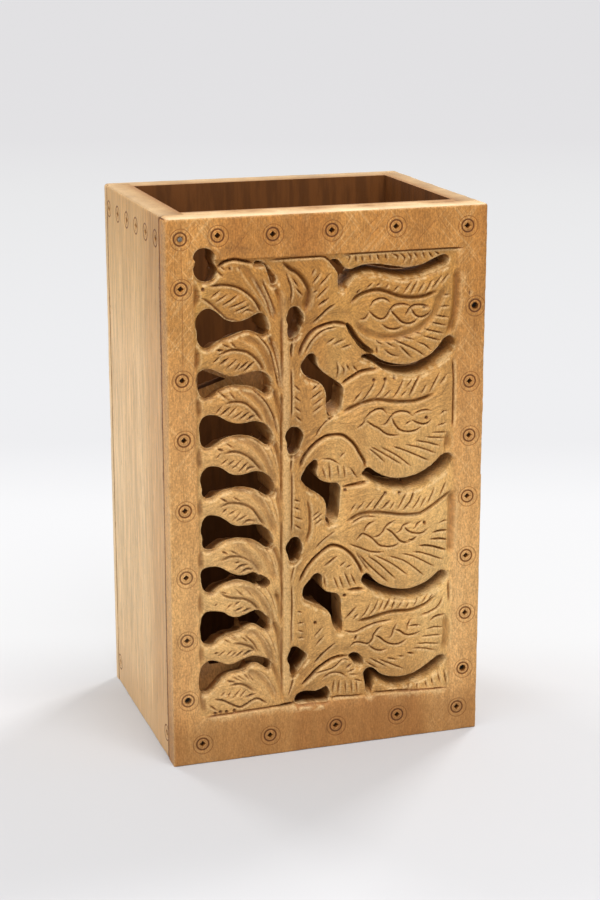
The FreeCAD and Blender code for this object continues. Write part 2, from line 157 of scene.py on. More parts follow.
leafStrokes = """
rib 10.2,111.7 13,111.9 16,111.3 18.5,109.8 20.5,107.7 21.9,105.2
cut 10.2,109.2 12.2,110.5
cut 11.3,108.2 14,109.8
cut 12.8,107.4 16.3,109.4
cut 14.3,106.8 18.2,108.1
cut 15.6,105.8 19,107.1
cut 17.4,105.4 18.4,106 20,105.5
fan 11.8,115 13,113.7
fan 12.4,116 13.4,115.2
fan 14.4,115.9 14.7,115
fan 16.4,115.8 16.8,115
flow 17.5,115.5 20,112 22,109 24,106 25,103.5
cut 20,113 21.5,110.5 23,107.5 24.2,104
cut 22,112.5 22.7,110.5 24,107.5 25,104.8
crease 7.8,109.3 9,108.8 10.5,107.6 12.5,105.6 14,104.2 16,103.8
dot 8.4,111.2
cut 7.5,110 7.5,109.2
rib 12,96.4 14.5,97.2 16.5,97.1 18.5,96.5 20.3,95.1 21.7,93.3 22.3,91.8
cut 10.6,94.7 12.2,96
bold 12.2,94.2 14.2,95.5
cut 13.6,93.2 15.8,95
cut 15.5,92.6 16.8,94.3
bold 16.4,92.8 18.6,94.3
bold 17.7,92.3 20,94.2
bold 11.5,97.4 12.8,97.3
fan 12.8,98.6 14.5,97.8
fan 14.6,99 15.8,97.8
flow 17.5,100 21,98 23.3,94 24.3,91
cut 21,100 23.3,97 24.8,92 25.6,88
cut 23.3,100.5 24.5,97 25.5,92.5 26,88
rib 13.5,85.3 15.5,85.5 17.5,85.1 19,84.1 20.6,82.5 21.8,80.6
cut 11.1,83 12.5,84.8
bold 12.2,82.7 14.3,84.2
cut 13.8,82.3 15.8,84.1
cut 15,81.7 17.3,83.2
bold 16.6,81.4 18.8,82.8
bold 18.2,81 20.2,82
fan 11.5,88.2 14,86
fan 14.2,87.8 15.6,85.9
fan 16.7,88.3 17.3,87.3
flow 17,88.2 19.5,86.5 21.8,84 23.3,81 24.3,78
cut 19.5,88 22.5,85 24.5,81 25.3,77.5
rib 13,73.8 15,74 17,73.5 19,72.2 20.6,70.5 21.9,68.8
flow 15.5,77 18.5,76 21.5,73.2 23.5,69.5 24.8,66
hair 18.5,77.2 21,75.6 23,72.8 24.5,69
hair 21.3,77.3 23,75.3 24.3,72.5 25.2,69
cut 11.1,72.8 12,74
cut 12.1,71.2 13.8,72.4
cut 13.7,70.9 15.3,72
cut 14.6,70 17,71.9
bold 16.3,69.3 18.4,71.1
bold 17.9,69.2 18.6,69.8 20,70
bold 11.5,74.9 12.6,74.5
fan 13.5,76 15,74.8
rib 12,61.5 14,62.1 16,61.9 18,61.2 19.6,60 20.6,58.6 22.2,56.2
flow 15,65.5 18.5,64.3 21.5,61.3 23.6,57.5 24.8,54
hair 18.3,65.8 21,64 23.2,60.6 24.7,56.5
hair 21.5,65.8 23.3,63.3 24.6,60 25.3,57
cut 12.4,60 13.5,60.8
cut 13.9,59.4 15.5,60.2
cut 14.7,57.8 16.6,59.7
cut 15.6,57.7 18.2,58.9
bold 17.2,57 18.3,57.6 20,57.3
bold 12,63.4 13.5,62.5
fan 14.7,63.5 16.7,62.3
rib 12,48.7 14,49.4 16,49.3 18,48.4 20,46.9 21.1,45
flow 18,53 21,50.5 23.3,46.5 24.6,42.5
hair 20.5,53 22.5,50.5 24,47 24.9,43
hair 22.6,52.5 24,49.5 25,45.5
cut 15.2,47.7 16.4,47.9
bold 15.2,46.1 16.5,46.9 18.2,47.1
bold 16.4,45.3 18,46 19.6,45.7
bold 12.2,50.8 13.3,50.2
fan 14,51 16,49.8
flow 15,52.7 18.5,49 21,45
rib 11.8,40.8 13.5,39.8 15.5,39.3 17.5,38.9 19.5,37.6 21,35.8
flow 16.5,41.8 19.5,40.5 22.2,37 24,33 24.8,30.5
hair 19.8,41.9 22,39.3 23.8,35.8 24.9,32
hair 22,41.8 23.6,39 24.9,35
cut 10.3,38 10.8,38.4
cut 13,37 14.5,38
cut 14.8,37.5 16.3,38.4
bold 15,36.3 17,36.9
bold 16.8,35.8 18.8,36.4
fan 11.5,41.2 13.5,40.6
fan 15.4,41.3 17,39.7
fan 17.5,41.6 19.5,39
rib 14.8,28.4 17,27.9 19,27 20,25.8
flow 17.5,31 20.5,29.5 22.8,26 24.2,22
hair 20.5,31 22.6,28.2 24.1,24.5
hair 22.2,31.3 23.8,28 24.9,24.5
bold 10.1,26.5 10.9,26.7
cut 11,25.8 12.5,27
cut 12.9,25.8 14.3,26.8
cut 13.9,25.4 15.5,26.4
bold 15.1,25.2 17.1,26.3
bold 16.9,25.1 18.7,26 19.4,26
fan 12.3,29.6 13.8,28.8
fan 13,30.5 15.5,29
fan 14.3,30.5 15.2,29.5
fan 16.5,29.8 18,28.5
fan 17,30.5 19.3,28 20.5,25.8
fan 19.3,30.9 20.6,29.2
rib 13.8,18.2 16,18.3 18,17.4 19.5,16
flow 17.5,21 20.5,19.8 23,17 24.8,13.5
hair 20.3,21.3 22.5,19.5 24.2,16.5 25.2,14
bold 13,19.4 14.8,18.9
fan 14.2,20.2 16.5,19
fan 15,20.8 17,19.3
fan 16.8,20.9 18.5,19
fan 17.8,20.9 19.2,18.8
cut 11.5,15.9 12.5,16.8
cut 13,15.5 13.8,16.5
cut 14.3,15.2 16.2,16.8
cut 16,15.2 17.5,16.5
bold 17.5,14.9 19.7,15.5
bold 10,15.3 12,14.8 14,13.6 16,12.7 17.5,13.2 20,14.3 22.3,13
line 8.5,14.2 10.5,12.5
"""

stemStrokes = """
rod 27.4,13 27.4,30 27.35,50 27.35,75 27.3,95 27,103 26.6,109
crease 26.3,104 26.3,97 26.25,88
crease 26.25,86.5 26.2,74 26.15,61
crease 26.15,57 26.15,45 26.15,33
crease 26.1,31 26.1,23 26.1,15
stem 24.8,111 25.6,109 26.1,106 26.2,103.3
stem 23.3,100 24.8,96 25.8,92 26.5,88.8
stem 24.2,88 25,86 25.8,82 26.3,78
stem 24.5,76 25.3,73 25.9,69 26.2,66
stem 24.8,65 25.5,62 26,57 26.2,54.2
stem 24,51.3 25,49 25.8,46 26.2,40.4
stem 24.7,40 25.5,37 26.1,31.8
stem 24.2,33 25.2,30 25.7,25 26.1,21.3
stem 23.5,23 24.8,20 25.6,17 26.2,13.4
bold 29.2,98.5 28.6,96 28.6,94.8
thin 28.5,92 28.6,86 28.5,81
bold 29,72 28.5,70 28.4,68.5
thin 28.7,68 28.6,60 28.5,54
cut 28.3,42 28.9,44 29.5,45.8
thin 28.5,41 28.6,36 28.4,31 28.5,27
bold 27.5,14.2 28.6,16.7 29.2,18.3
"""

budStrokes = """
midrib 26.8,116.1 28.5,114.6 30,113.7 31.5,112 32.7,109.5 32.6,107 31.9,105.2
valley 32.7,110 32.6,107.5 32,105.2
cut 29,112.3 30.2,110.6
cut 29.6,110.3 31.3,108.4
cut 27.6,113.5 28.6,110 28.4,107
cut 33.3,113 33.9,114.2
cut 33.5,111.1 35.2,113.2
cut 34.9,110.4 37.6,113
cut 33.6,108.9 34.5,109.5
cut 34.4,107.7 37.1,110.2
bold 34.8,106.1 37.2,107.5
bold 33.9,102.2 37,105.1 38.5,106
cut 29.2,88.3 30.6,86.9
cut 29.2,85.7 30.6,84.5
cut 29.2,83.3 30.8,82
cut 29.7,81 31,79.8
cut 33.3,86.7 35.3,88
cut 33,84.8 35.8,86.4
cut 33.6,83.3 36.2,84.8
cut 33.6,81.7 36,83.1
cut 29.1,61.6 30.6,61
cut 29.1,59.8 30.6,59
cut 29.1,57.6 31.2,56.6
cut 29.3,55.6 31,54.3
cut 33.6,57 35.2,58.2
cut 33.6,56 36,57.5
cut 34.2,55.2 36,56.2
rib 32.5,61 33,58 33,54 32.3,51
cut 30,34.5 31,34.2
cut 30.1,31.6 31.4,31.7
cut 30,30 31.5,29.3
cut 30.3,28 31.5,27.9
dot 34.2,31.4
cut 34.4,25.6 36.3,27.8
cut 34,28 36,30
contour 30.5,95 31.5,97.5 33.5,100.2 36,101.4 39,101.9 41.8,101.2
cut 32,95.5 33.5,98.3 36,100.3 39,100.9
slit 41.8,101.2 43.2,98.9 44.6,97 46.2,95.5 47.8,94.5
contour 30.8,69.2 31.8,71.5 34,74 36.5,75.6 38.5,75.9 41,75.6 43.5,73.5 45,71 46.2,69 46.6,67.5
contour 30.6,41.8 32,44.3 34,46.8 36.5,48.8 38.5,49.6 41,48.8 43.3,46.8 45,44.2 46,42
line 44.5,47 46,44.8 47.5,42.5
line 42.8,49.4 45,48.5 48,47.2 51,46.8
contour 31.3,16.3 33,17.8 35.3,20 38,21.5 40,22 42.3,21.9
cut 32.8,17 34.8,18.7 38.5,19.6 41,21.2 43,20.8
cut 34.3,75.8 36,78.5 39,80.3
cut 34.5,49.3 36,51 39,53
bold 34.4,21.3 36.5,23.7 39,25.6
cut 36.8,97.3 38.8,98.5
cut 38.2,96.9 41,98
cut 40.2,96 42.7,96.7
cut 39.2,92.8 39.6,91 39.4,89
cut 40.3,92 41,91 41.1,89.5
cut 41.5,92.2 42.3,90.8
cut 43.2,91.7 44.4,90.3
cut 36,68.5 36.8,65.8
cut 37.5,69.5 38,65.3
cut 39.5,69 40,66
cut 41,68.5 41.5,65.5
cut 42.5,68 44.5,65.3
cut 36,70.5 38,70.3 40,69
cut 40,70.6 41.3,71.7
bold 36.7,45 39.4,47
cut 40.2,44.4 41.5,45.5
cut 41.8,44 43,44.6
cut 36.5,42.5 37,39.5
cut 38.8,42 40,39
cut 40,42.3 41.2,39
cut 41.3,43 43,39
cut 42.8,42.5 44.5,39.3
line 36,17.2 38,18.3 40.3,18.2 42,17
cut 39,16.5 38.8,13.5
cut 40.2,16.2 40,13
cut 41.7,16 41.8,13.2
cut 43.2,15.8 43.4,12.8
cut 44.5,15.5 44.8,12.7
bold 42,19.1 43.3,19.8
cut 42.3,18 44.3,18.5
cut 42.8,17.5 44.7,17
cut 44,16 46,15.2
"""

bigLeafStrokes = """
cut 43.8,108.1 44.7,109
cut 46.1,109.1 47.7,110.4
cut 48.5,109.5 49.5,110.2
cut 50.8,109 51.4,109.8
cut 52.6,108.1 53.9,109.3
cut 55,107.6 57,110
cut 56.6,107.3 58.5,110.2
cut 58.5,107.5 60,109.6
cut 60.2,107.4 62,110.1
cut 61.9,108.2 64.2,111
cut 64,109.3 65.9,111.3
midrib 42.6,106.2 45,108 48.5,108.7 51,108.2 54,107 57,106.5 60,106.6 62.8,107.5
scroll 47,105 48,106.2 50,106.7 51.3,106.2 51.9,105.6
scroll 44.6,102.3 45.8,102.4 46.8,103.6
scroll 46.8,104.1 48,102.9 49.4,102.1 50.8,102.4 51.8,104 53,104.9 55,105.1 56.6,104.6
scroll 51.8,104.1 53.2,102.5 54.8,101 56.4,100.6 57.8,101 58.4,101.6
scroll 55.4,102.5 56.8,104.2 58.5,104.7 60.5,104.4 61.3,104
scroll 56.8,104.2 58,102.4 59.6,101.9 61,102.5 61.7,103.4
bold 59.7,104 60.7,104
scroll 50,100.8 51.2,99.9 53,99.5 54.7,99.9
flow 44,101 47,98.8 51,97.7 55,98 59,99.3 62,102 64,106 65,108
cut 64.6,106.5 66.2,106.7
cut 64,104 66,104
cut 62.5,102.1 66,101.4
cut 61.6,100.6 65.6,99.5
cut 60,99.1 65,97.7
cut 60,97.5 64.2,96.1
cut 57.8,98.5 59.5,97.9
cut 54.5,97.8 57.6,96.8
cut 58.5,96.2 60.5,95.3 62,94
cut 52.5,97.2 55,96 58,94.5 60.5,92.8
cut 54.3,95.5 57.3,92.6
cut 50.5,96.9 53,95.4
cut 50.6,95 52.3,93.7 54,93.1
cut 48.5,97.1 50,96.2
cut 48.8,95.6 49,94.2
contour 40.8,87.6 42.5,88.8 45,90.1 47.5,90.4 49.3,90.4
cut 43.3,83.3 45.2,85.7
cut 45,83 47.5,86 48.2,87.6
cut 48.2,83.5 50,85.5 51,87.7
cut 50.3,83.7 52.3,85.4
cut 52.8,83.6 54,85 55.5,87.7
cut 54.8,83.8 56,85
cut 56,85.7 57.7,87.6
bold 56.8,83.9 58,86 59.3,87.9
cut 59.7,84 60.9,86
cut 61.7,84.2 63,86.5 64.1,88.6
cut 64.3,86 65.8,88
dot 48.1,88.1
dot 50.9,88
dot 53.2,88.2
midrib 41.2,81.2 43.5,82.2 46,83 49,83.4 52,82.9 55,82.4 58,82.4 60,82.8 62.5,83.6
bold 53.5,82.7 55.5,82.4 57.5,82.4
ridge 40.5,80.5 44,80.5 47,82 50,81.9 54,81.2 58,81 61.5,82.3 64.5,84.4 65.8,87
scroll 46,79.2 47.5,80.5 49.3,81.2 50.5,81 51.3,80
scroll 44.3,77.2 45.5,78 46.2,79.1
scroll 46.4,78.7 48,77.5 49.5,76.6 51,75.4 52.5,74.8 54.3,74.7
scroll 50.1,77.5 51.2,77.7 52,78.8 53,79.8 54.8,80.2 56.5,79.9 57.5,79
scroll 52.6,78.8 53.4,77.2 54.6,75.9 56.5,75.3 58.3,75.4 59.7,76.1
scroll 56,77.1 57.2,77.8
scroll 57.8,79 58.5,79.6 60.5,80.1 62.2,79.9
scroll 57.6,78 58.7,77.3 60.3,76.8 61.5,77.1 62.2,77.8
dot 61,78.3
cut 64.3,78.7 65.5,79.5 66.3,79.4
cut 63.6,76.1 66,76.7
cut 62.6,74.6 66.2,74.4
cut 60.9,73.7 65.8,73
cut 58.5,73 61.5,72.3 64.6,71.2
cut 56,72.3 59.5,71.3 63.7,69.5
cut 52.8,72.2 56.5,70.6 62,67.9
cut 47.5,72.5 50,71 55,67.7
cut 47.1,72 48.5,71 51,68.5
cut 50,72.2 54,69.8 57.5,66.9
contour 41.2,63.4 44,63.7 47,64
dot 41.5,62.7
ridge 43,61.5 46,62.4 49,62.5
cut 42.8,57.4 44,59.3
cut 44.3,57.5 46,59.5
cut 46.2,57.5 48.5,60
bold 48.2,57.3 51.2,61
bold 50.4,57.4 52.5,59.2
cut 52.4,57.1 53.5,58.7
cut 54.3,57 55.5,58.8 56.8,60.7
bold 55.7,56.7 57.5,58.5 58.5,60.8
cut 57.9,56.6 59.3,58.3 60,59.6
cut 59.8,56.8 61.5,59.5
cut 61.7,57.5 63.5,61.3
cut 64.6,59 66.3,62.5
dot 51.3,61
dot 54.9,60.6
midrib 42.2,55.2 45,56.5 48.5,56.7 52,56.1 55,55.5 58,55.2 60.2,55.4 63,56.9 66.5,59.3 67.5,59.8
bold 50,56.5 53,55.9 56,55.4 60,55.4
line 43,54.5 46,55.8 49,55.5
ridge 39.8,53 43,54.2 47,55 52,54.5 56,54.1 60,53.9 64,55.2
scroll 46.1,52.3 46.6,53.4 47.6,54.2 48.8,54.6
scroll 44.2,50.4 45.5,51.7 46.6,51.5 48.2,50.4 49.8,48.7 51.5,48.1 53.5,48.1 54.8,48.8
scroll 48.3,50.8 49.6,50.9 50.7,51.7 51.4,52.9 52.5,53.6 53.8,54.2
scroll 51.3,52.6 52.8,51.6 53.9,50.4 55,49.2 56.3,48.6 57.6,48.7
scroll 54,51.2 55,51.6 55.8,52.7 57.5,53.3
scroll 55.9,52.7 57,51.4 58.6,50.7 60.5,50.6 61.8,51.4
scroll 58.4,51.8 59.3,52.8 60.4,53.5
dot 61,53
bold 57,49 58.3,49.2 59,49.9
cut 64.5,52.5 65.8,53 67,53
bold 63.1,50.4 65,50.7 67,50.6
bold 62.5,48.8 65,48.7 67,48.2
bold 59.8,47.5 62.5,47.2 66.5,45.8
cut 58.2,46.2 61,45.5 65.8,43.5
cut 55.5,46 58.5,45 63.8,41.9
cut 52.2,45.8 56.5,43.9 61.2,40
cut 48.9,46.2 53,43.8 57,40.6
cut 47.2,46.2 50,44 54,40
cut 45.2,46.6 48,43.4 52.2,39.3
contour 42.4,38.4 44.5,38.3 46.4,38
dot 41.5,37.2
ridge 41.5,35.8 43.5,37 45.5,37.3
bold 41.9,31.5 44.2,34
cut 43.7,31.1 44.8,32.5
cut 45.5,31.3 46.5,32.3 47.8,34.5
cut 47.4,31.5 48.8,33 49.8,35
cut 49.9,32.3 51.3,35
bold 51.3,32.6 52.9,35
bold 53.1,32.5 54.3,34.8
cut 54.8,32.6 56.2,34.3
cut 56.8,32.4 57.6,33.5
cut 58.8,32.6 59.9,34.3
cut 60.8,33.1 62.3,34.7
cut 62.7,33.9 63.7,35
midrib 45,30.5 48,30.8 51,31.5 54,31.8 57,31.6 59.5,31.9 62,32.8 64,34.3
line 41.5,28.3 43.7,27.9 46,28.5 49,29.4 53,29.8
line 60.5,30 63,30.8 65,32 66,34
bold 44.4,27 44.1,26
scroll 42.8,24.2 44,25.2 45.5,25.1 47.3,24.6 48.2,25.3 48.8,26.8 49.8,28 50.8,28.6
scroll 49,26.5 50.3,25.8 51.5,24.7 53,23.9 54.8,23.6 56,24 56.8,24.6
scroll 47.5,24.2 49,23 50.6,22.5 52,22.8
scroll 52.4,25.4 53.2,26 53.7,27.5 54.4,28.8
scroll 53.8,27.4 55.2,26.9 56.5,25.9 58,25.6 59.5,25.8 60.2,26.2
scroll 57.1,26.8 57.2,27.8 57.7,29 58.4,29.5
scroll 57.4,27.8 59.5,27.8 60.5,27.6
scroll 59.5,27.3 59.8,28
bold 63,28.6 64.2,29.5 66.5,29.8
cut 62,26.5 64,26.8 66.3,26.6
cut 60.7,24.7 63,24.8 66,24.7
cut 59.6,23.1 62,23 65.3,22.5
cut 58.5,22.1 61.5,21.8 64.5,20.8
bold 57.3,21.1 58.8,20.8
cut 55,20.6 56.4,20.3
cut 52,20.5 54.7,19.7
cut 50,20.4 56.3,17.2
cut 48,20.8 52,18.3
cut 47,20 50,17.9
"""

# ---- a face as a raster: how deep the wood is cut back, and how dark dirt and shade have made it

dice = np.random.default_rng(7)
noise.seed_set(5)


def newFace(width, height, pitch):
    xs = np.linspace(0, width, round(width / pitch) + 1)
    zs = np.linspace(0, height, round(height / pitch) + 1)
    shape = (len(zs), len(xs))
    return {"width": width, "height": height, "pitch": pitch, "xs": xs, "zs": zs,
            "cut": np.zeros(shape), "swell": np.zeros(shape), "slope": np.zeros(shape), "dark": np.zeros(shape),
            "field": np.zeros(shape), "gap": np.full(shape, 9.0), "wearAndGlint": np.zeros(shape),
            "lit": np.zeros(shape), "above": np.zeros(shape), "grain": []}


def patch(face, x, z, reach):
    # the part of the raster round a point, and how far each of its points is from it
    pitch, xs, zs = face["pitch"], face["xs"], face["zs"]
    i, k = max(int((x - reach) / pitch), 0), min(int((x + reach) / pitch) + 2, len(xs))
    j, m = max(int((z - reach) / pitch), 0), min(int((z + reach) / pitch) + 2, len(zs))
    away = np.hypot(xs[i:k][None, :] - x, zs[j:m][:, None] - z)
    return (slice(j, m), slice(i, k)), away


def press(face, layer, x, z, reach, amount, roundness):
    part, away = patch(face, x, z, reach)
    face[layer][part] = np.maximum(face[layer][part], amount * (1 - np.clip(away / reach, 0, 1) ** roundness))


def smoothLine(points, step=0.12):
    # Catmull-Rom through the points
    points = [np.array(p, float) for p in points]
    ends = [2 * points[0] - points[1]] + points + [2 * points[-1] - points[-2]]
    line = []
    for a, b, c, d in zip(ends, ends[1:], ends[2:], ends[3:]):
        count = max(int(np.linalg.norm(c - b) / step), 1)
        for t in np.arange(count) / count:
            line.append(0.5 * (2 * b + (c - a) * t + (2 * a - 5 * b + 4 * c - d) * t ** 2
                               + (3 * b - a - 3 * c + d) * t ** 3))
    return np.array(line + [points[-1]])


def strike(face, kind, points):
    if kind == "dot":
        x, z = points[0]
        press(face, "cut", x, z, 0.45, 0.5, 1.2)
        press(face, "dark", x, z, 0.55, 1, 1.5)
        return
    if kind == "nick":
        kind = "thin"
    half, deep, roundness, darkness, slope = strokeKinds[kind]
    deep *= dice.uniform(0.85, 1.15)
    line = smoothLine(points)
    along = np.linspace(0, 1, len(line))
    length = len(line) * 0.12
    if kind == "stem":    # starts wide, runs out to a point
        size = np.clip(along * length / 1.2, 0.3, 1) * (1 - 0.75 * along)
    else:
        run = min(1.2, length * 0.4)
        size = np.clip(0.4 + 0.6 * np.minimum(along, 1 - along) * length / run, 0, 1)
    if kind in ("flow", "stem", "rib", "midrib", "valley", "contour", "slit"):    # the fibres run with these
        for a, b in zip(line[::18], line[9::18]):
            face["grain"].append((*a, math.atan2(b[1] - a[1], b[0] - a[0])))
    layer = "swell" if deep < 0 else "cut"
    # painted highlight along the crown of a raised rod
    if kind == "rod":
        for x, z in line[::3]:
            press(face, "lit", x, z, 0.9, 0.22, 2)
    for (x, z), s in zip(line, size):
        press(face, layer, x, z, half * (0.5 + 0.5 * s), abs(deep) * s, roundness)
        # the stroke darkened with dirt and painted shade
        if darkness:
            press(face, "dark", x, z, half * (0.6 + 0.5 * s), darkness * s, 1.6)
    way = np.gradient(line, axis=0)
    way /= np.maximum(np.linalg.norm(way, axis=1), 1e-9)[:, None]
    if deep > 0.15 and kind != "slit":    # painted highlight on the lower lip of a cut, the side the light falls on
        for (x, z), (dx, dz), s in list(zip(line, way, size))[::2]:
            side = 1 if dx + 0.35 * dz > 0 else -1
            off = half * (0.5 + 0.5 * s) + 0.1
            press(face, "lit", x + side * dz * off, z - side * dx * off, 0.34, (0.9 if half < 0.6 else 0.5) * s, 1.2)
    if slope:    # the wood beside it falls away towards the stroke, on one side
        reach, fall, side = slope
        for (x, z), (dx, dz), s in list(zip(line, way, size))[::3]:
            press(face, "slope", x - side * dz * reach * 0.55, z + side * dx * reach * 0.55, reach, fall * s, 1.6)


def unevenness(face, cell, seed):
    # smooth random hills about -1 to 1, each about cell mm wide
    rng = np.random.default_rng(seed)
    nx, nz = int(face["width"] / cell) + 3, int(face["height"] / cell) + 3
    knots = rng.uniform(-1, 1, (nz, nx))

    def spread(values, at):
        i = np.floor(at).astype(int)
        t = at - i
        t = t * t * (3 - 2 * t)
        return values[i] * (1 - t)[:, None] + values[i + 1] * t[:, None]

    rows = spread(knots, face["zs"] / cell)
    return spread(rows.T, face["xs"] / cell).T


def toolMarks(face, cell, reach, seed):
    # shallow facets left by the knife: random hills smeared along the way it ran
    xs, zs = np.arange(0, face["width"] + 1, 0.8), np.arange(0, face["height"] + 1, 0.8)
    px, pz, angle = np.array(face["grain"]).T
    weight = np.exp(-((xs[None, :, None] - px) ** 2 + (zs[:, None, None] - pz) ** 2) / 6)
    along = (weight * np.cos(2 * angle)).sum(2) - 0.02    # upright where no stroke is near
    turned = (weight * np.sin(2 * angle)).sum(2)
    way = np.arctan2(turned, along) / 2
    rows = np.minimum((face["zs"] / 0.8 + 0.5).astype(int), len(zs) - 1)
    columns = np.minimum((face["xs"] / 0.8 + 0.5).astype(int), len(xs) - 1)
    way = way[rows][:, columns]
    dx, dz = np.cos(way), np.sin(way)
    hills = unevenness(face, cell, seed)
    total = hills.copy()
    high, wide = hills.shape[0] - 1, hills.shape[1] - 1
    for sense in (1.0, -1.0):
        r, c = np.indices(hills.shape).astype(float)
        lastX, lastZ = sense * dx, sense * dz
        for _ in range(int(reach / face["pitch"])):
            r, c = np.clip(r + lastZ, 0, high), np.clip(c + lastX, 0, wide)
            i, j = np.rint(r).astype(int), np.rint(c).astype(int)
            total += hills[i, j]
            back = np.where(lastX * dx[i, j] + lastZ * dz[i, j] < 0, -1, 1)
            lastX, lastZ = back * dx[i, j], back * dz[i, j]
    return np.clip(total / total.std(), -2.5, 2.5)


def step(value, low, high):
    t = np.clip((value - low) / (high - low), 0, 1)
    return t * t * (3 - 2 * t)


def depthOf(face, outerRound, sideRound, bottomRound):
    # the whole cut depth: carving, hand-planed unevenness and the worn outer edges
    x, z = face["xs"][None, :], face["zs"][:, None]
    worn = 1 + 0.35 * unevenness(face, 4, 21) + 0.2 * unevenness(face, 1.1, 22)
    side = np.minimum(x, face["width"] - x)
    top, bottom = face["height"] - z, z
    radius = np.where(top < bottom, outerRound, bottomRound) * worn
    sideRadius = sideRound * worn
    reach = np.hypot(np.clip(sideRadius - side, 0, None) / sideRadius,
                     np.clip(radius - np.minimum(top, bottom), 0, None) / radius)
    reach = np.minimum(reach, 1)
    rounded = np.minimum(radius, sideRadius + 0 * x) * (1 - np.sqrt(1 - reach ** 2))
    # pale worn outer edges, partly a painted highlight along the arrises
    face["wearAndGlint"] = np.clip(1.1 - np.minimum(top + 0 * x, side + 0.2 + 0 * z) / 0.55, 0, 1)
    flat = 0.035 * unevenness(face, 7, 23) + 0.02 * unevenness(face, 1.6, 24) + 0.06
    return np.maximum(flat + face["cut"] + face["slope"] - face["swell"], 0.0) + rounded


def sample(face, layer, x, z):
    # bilinear
    values = face[layer] if isinstance(layer, str) else layer
    u = np.clip(x / face["pitch"], 0, len(face["xs"]) - 1.001)
    v = np.clip(z / face["pitch"], 0, len(face["zs"]) - 1.001)
    i, j = u.astype(int), v.astype(int)
    u, v = u - i, v - j
    return ((values[j, i] * (1 - u) + values[j, i + 1] * u) * (1 - v)
            + (values[j + 1, i] * (1 - u) + values[j + 1, i + 1] * u) * v)


# ---- gap outlines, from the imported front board

def outlinesAt(node, depth, origin):
    # closed outlines in the plane y = depth, between a flat face and a wall
    work = bmesh.new()
    work.from_mesh(node.data)
    bmesh.ops.remove_doubles(work, verts=work.verts, dist=1e-6)
    work.normal_update()
    loose = set()
    for edge in work.edges:
        inPlane = all(abs(v.co.y / mm - depth) < 0.02 for v in edge.verts)
        if inPlane and sum(abs(f.normal.y) > 0.99 for f in edge.link_faces) == 1:
            loose.add(edge)
    outlines = []
    for first in sorted(loose, key=lambda e: e.index):
        if first not in loose:
            continue
        loose.discard(first)
        loop = list(first.verts)
        while True:
            following = [e for e in loop[-1].link_edges if e in loose]
            if not following:
                break
            loose.discard(following[0])
            vert = following[0].other_vert(loop[-1])
            if vert is loop[0]:
                break
            loop.append(vert)
        outlines.append(np.array([(v.co.x / mm - origin[0], v.co.z / mm - origin[1]) for v in loop]))
    work.free()
    return outlines


def size2d(outline):
    return np.ptp(outline, axis=0)


def insideOf(outline, x, z):
    ax, az = outline.T
    bx, bz = np.roll(outline, -1, axis=0).T
    over = (az[None, :] > z[:, None]) != (bz[None, :] > z[:, None])
    crossing = ax + (z[:, None] - az) * (bx - ax) / np.where(bz == az, 1e-9, bz - az)
    return (over & (x[:, None] < crossing)).sum(1) % 2 == 1


def nearestOn(outline, x, z):
    a, b = outline, np.roll(outline, -1, axis=0)
    ab = b - a
    p = np.stack([x, z], 1)[:, None, :]
    t = np.clip(((p - a) * ab).sum(2) / np.maximum((ab * ab).sum(1), 1e-9), 0, 1)
    foot = a + t[..., None] * ab
    away = np.linalg.norm(p - foot, axis=2)
    best = away.argmin(1)
    rows = np.arange(len(x))
    return foot[rows, best], away[rows, best]


# ---- mesh helpers

def readPoints(mesh):
    points = np.empty(len(mesh.vertices) * 3)
    mesh.vertices.foreach_get("co", points)
    return points.reshape(-1, 3)


def writePoints(mesh, points):
    mesh.vertices.foreach_set("co", points.ravel())
    mesh.update()


def readEdges(mesh):
    ends = np.empty(len(mesh.edges) * 2, np.int32)
    mesh.edges.foreach_get("vertices", ends)
    return ends.reshape(-1, 2)


def openEdges(mesh):
    used = np.empty(len(mesh.loops), np.int32)
    mesh.loops.foreach_get("edge_index", used)
    return np.bincount(used, minlength=len(mesh.edges)) == 1


def pickEdges(mesh, chosen):
    ends = readEdges(mesh)
    verts = np.zeros(len(mesh.vertices), bool)
    verts[ends[chosen].ravel()] = True
    mesh.vertices.foreach_set("select", verts)
    mesh.edges.foreach_set("select", chosen)
    mesh.polygons.foreach_set("select", np.zeros(len(mesh.polygons), bool))


def onEdges(piece, chosen, work):
    # runs an edit-mode operator on the chosen edges, then returns to object mode
    pickEdges(piece.data, chosen)
    bpy.ops.object.mode_set(mode="EDIT")
    bpy.ops.mesh.select_mode(type="EDGE")
    work()
    bpy.ops.object.mode_set(mode="OBJECT")


def pullBack(piece, chosen, depth, wobble=0.0, seed=0):
    # extrudes edges and moves the new ones to one depth; gives back which edges are the new open ones
    mesh = piece.data
    before = len(mesh.vertices)
    onEdges(piece, chosen, lambda: bpy.ops.mesh.extrude_edges_indiv())
    points = readPoints(mesh)
    fresh = points[before:]
    for n in np.flatnonzero(fresh[:, 1] < depth - 0.2) if wobble else ():
        shift = noise.noise_vector(Vector((fresh[n, 0] * 0.45, depth * 0.3 + seed, fresh[n, 2] * 0.45)))
        fresh[n, 0] += wobble * shift.x
        fresh[n, 2] += wobble * shift.z
    fresh[:, 1] = np.maximum(fresh[:, 1], depth)
    writePoints(mesh, points)
    ends = readEdges(mesh)
    return (ends >= before).all(1) & openEdges(mesh)


def roomBefore(outline, points, way):
    # how far each point is from the outline's other side, going one way
    a, s = outline[None], (np.roll(outline, -1, axis=0) - outline)[None]
    p, d = points[:, None], way[:, None]
    across = d[..., 0] * s[..., 1] - d[..., 1] * s[..., 0]
    across = np.where(abs(across) < 1e-9, 1e-9, across)
    t = ((a - p)[..., 0] * s[..., 1] - (a - p)[..., 1] * s[..., 0]) / across
    u = ((a - p)[..., 0] * d[..., 1] - (a - p)[..., 1] * d[..., 0]) / across
    return np.where((u >= 0) & (u <= 1) & (t > 0.25), t, 99).min(1)


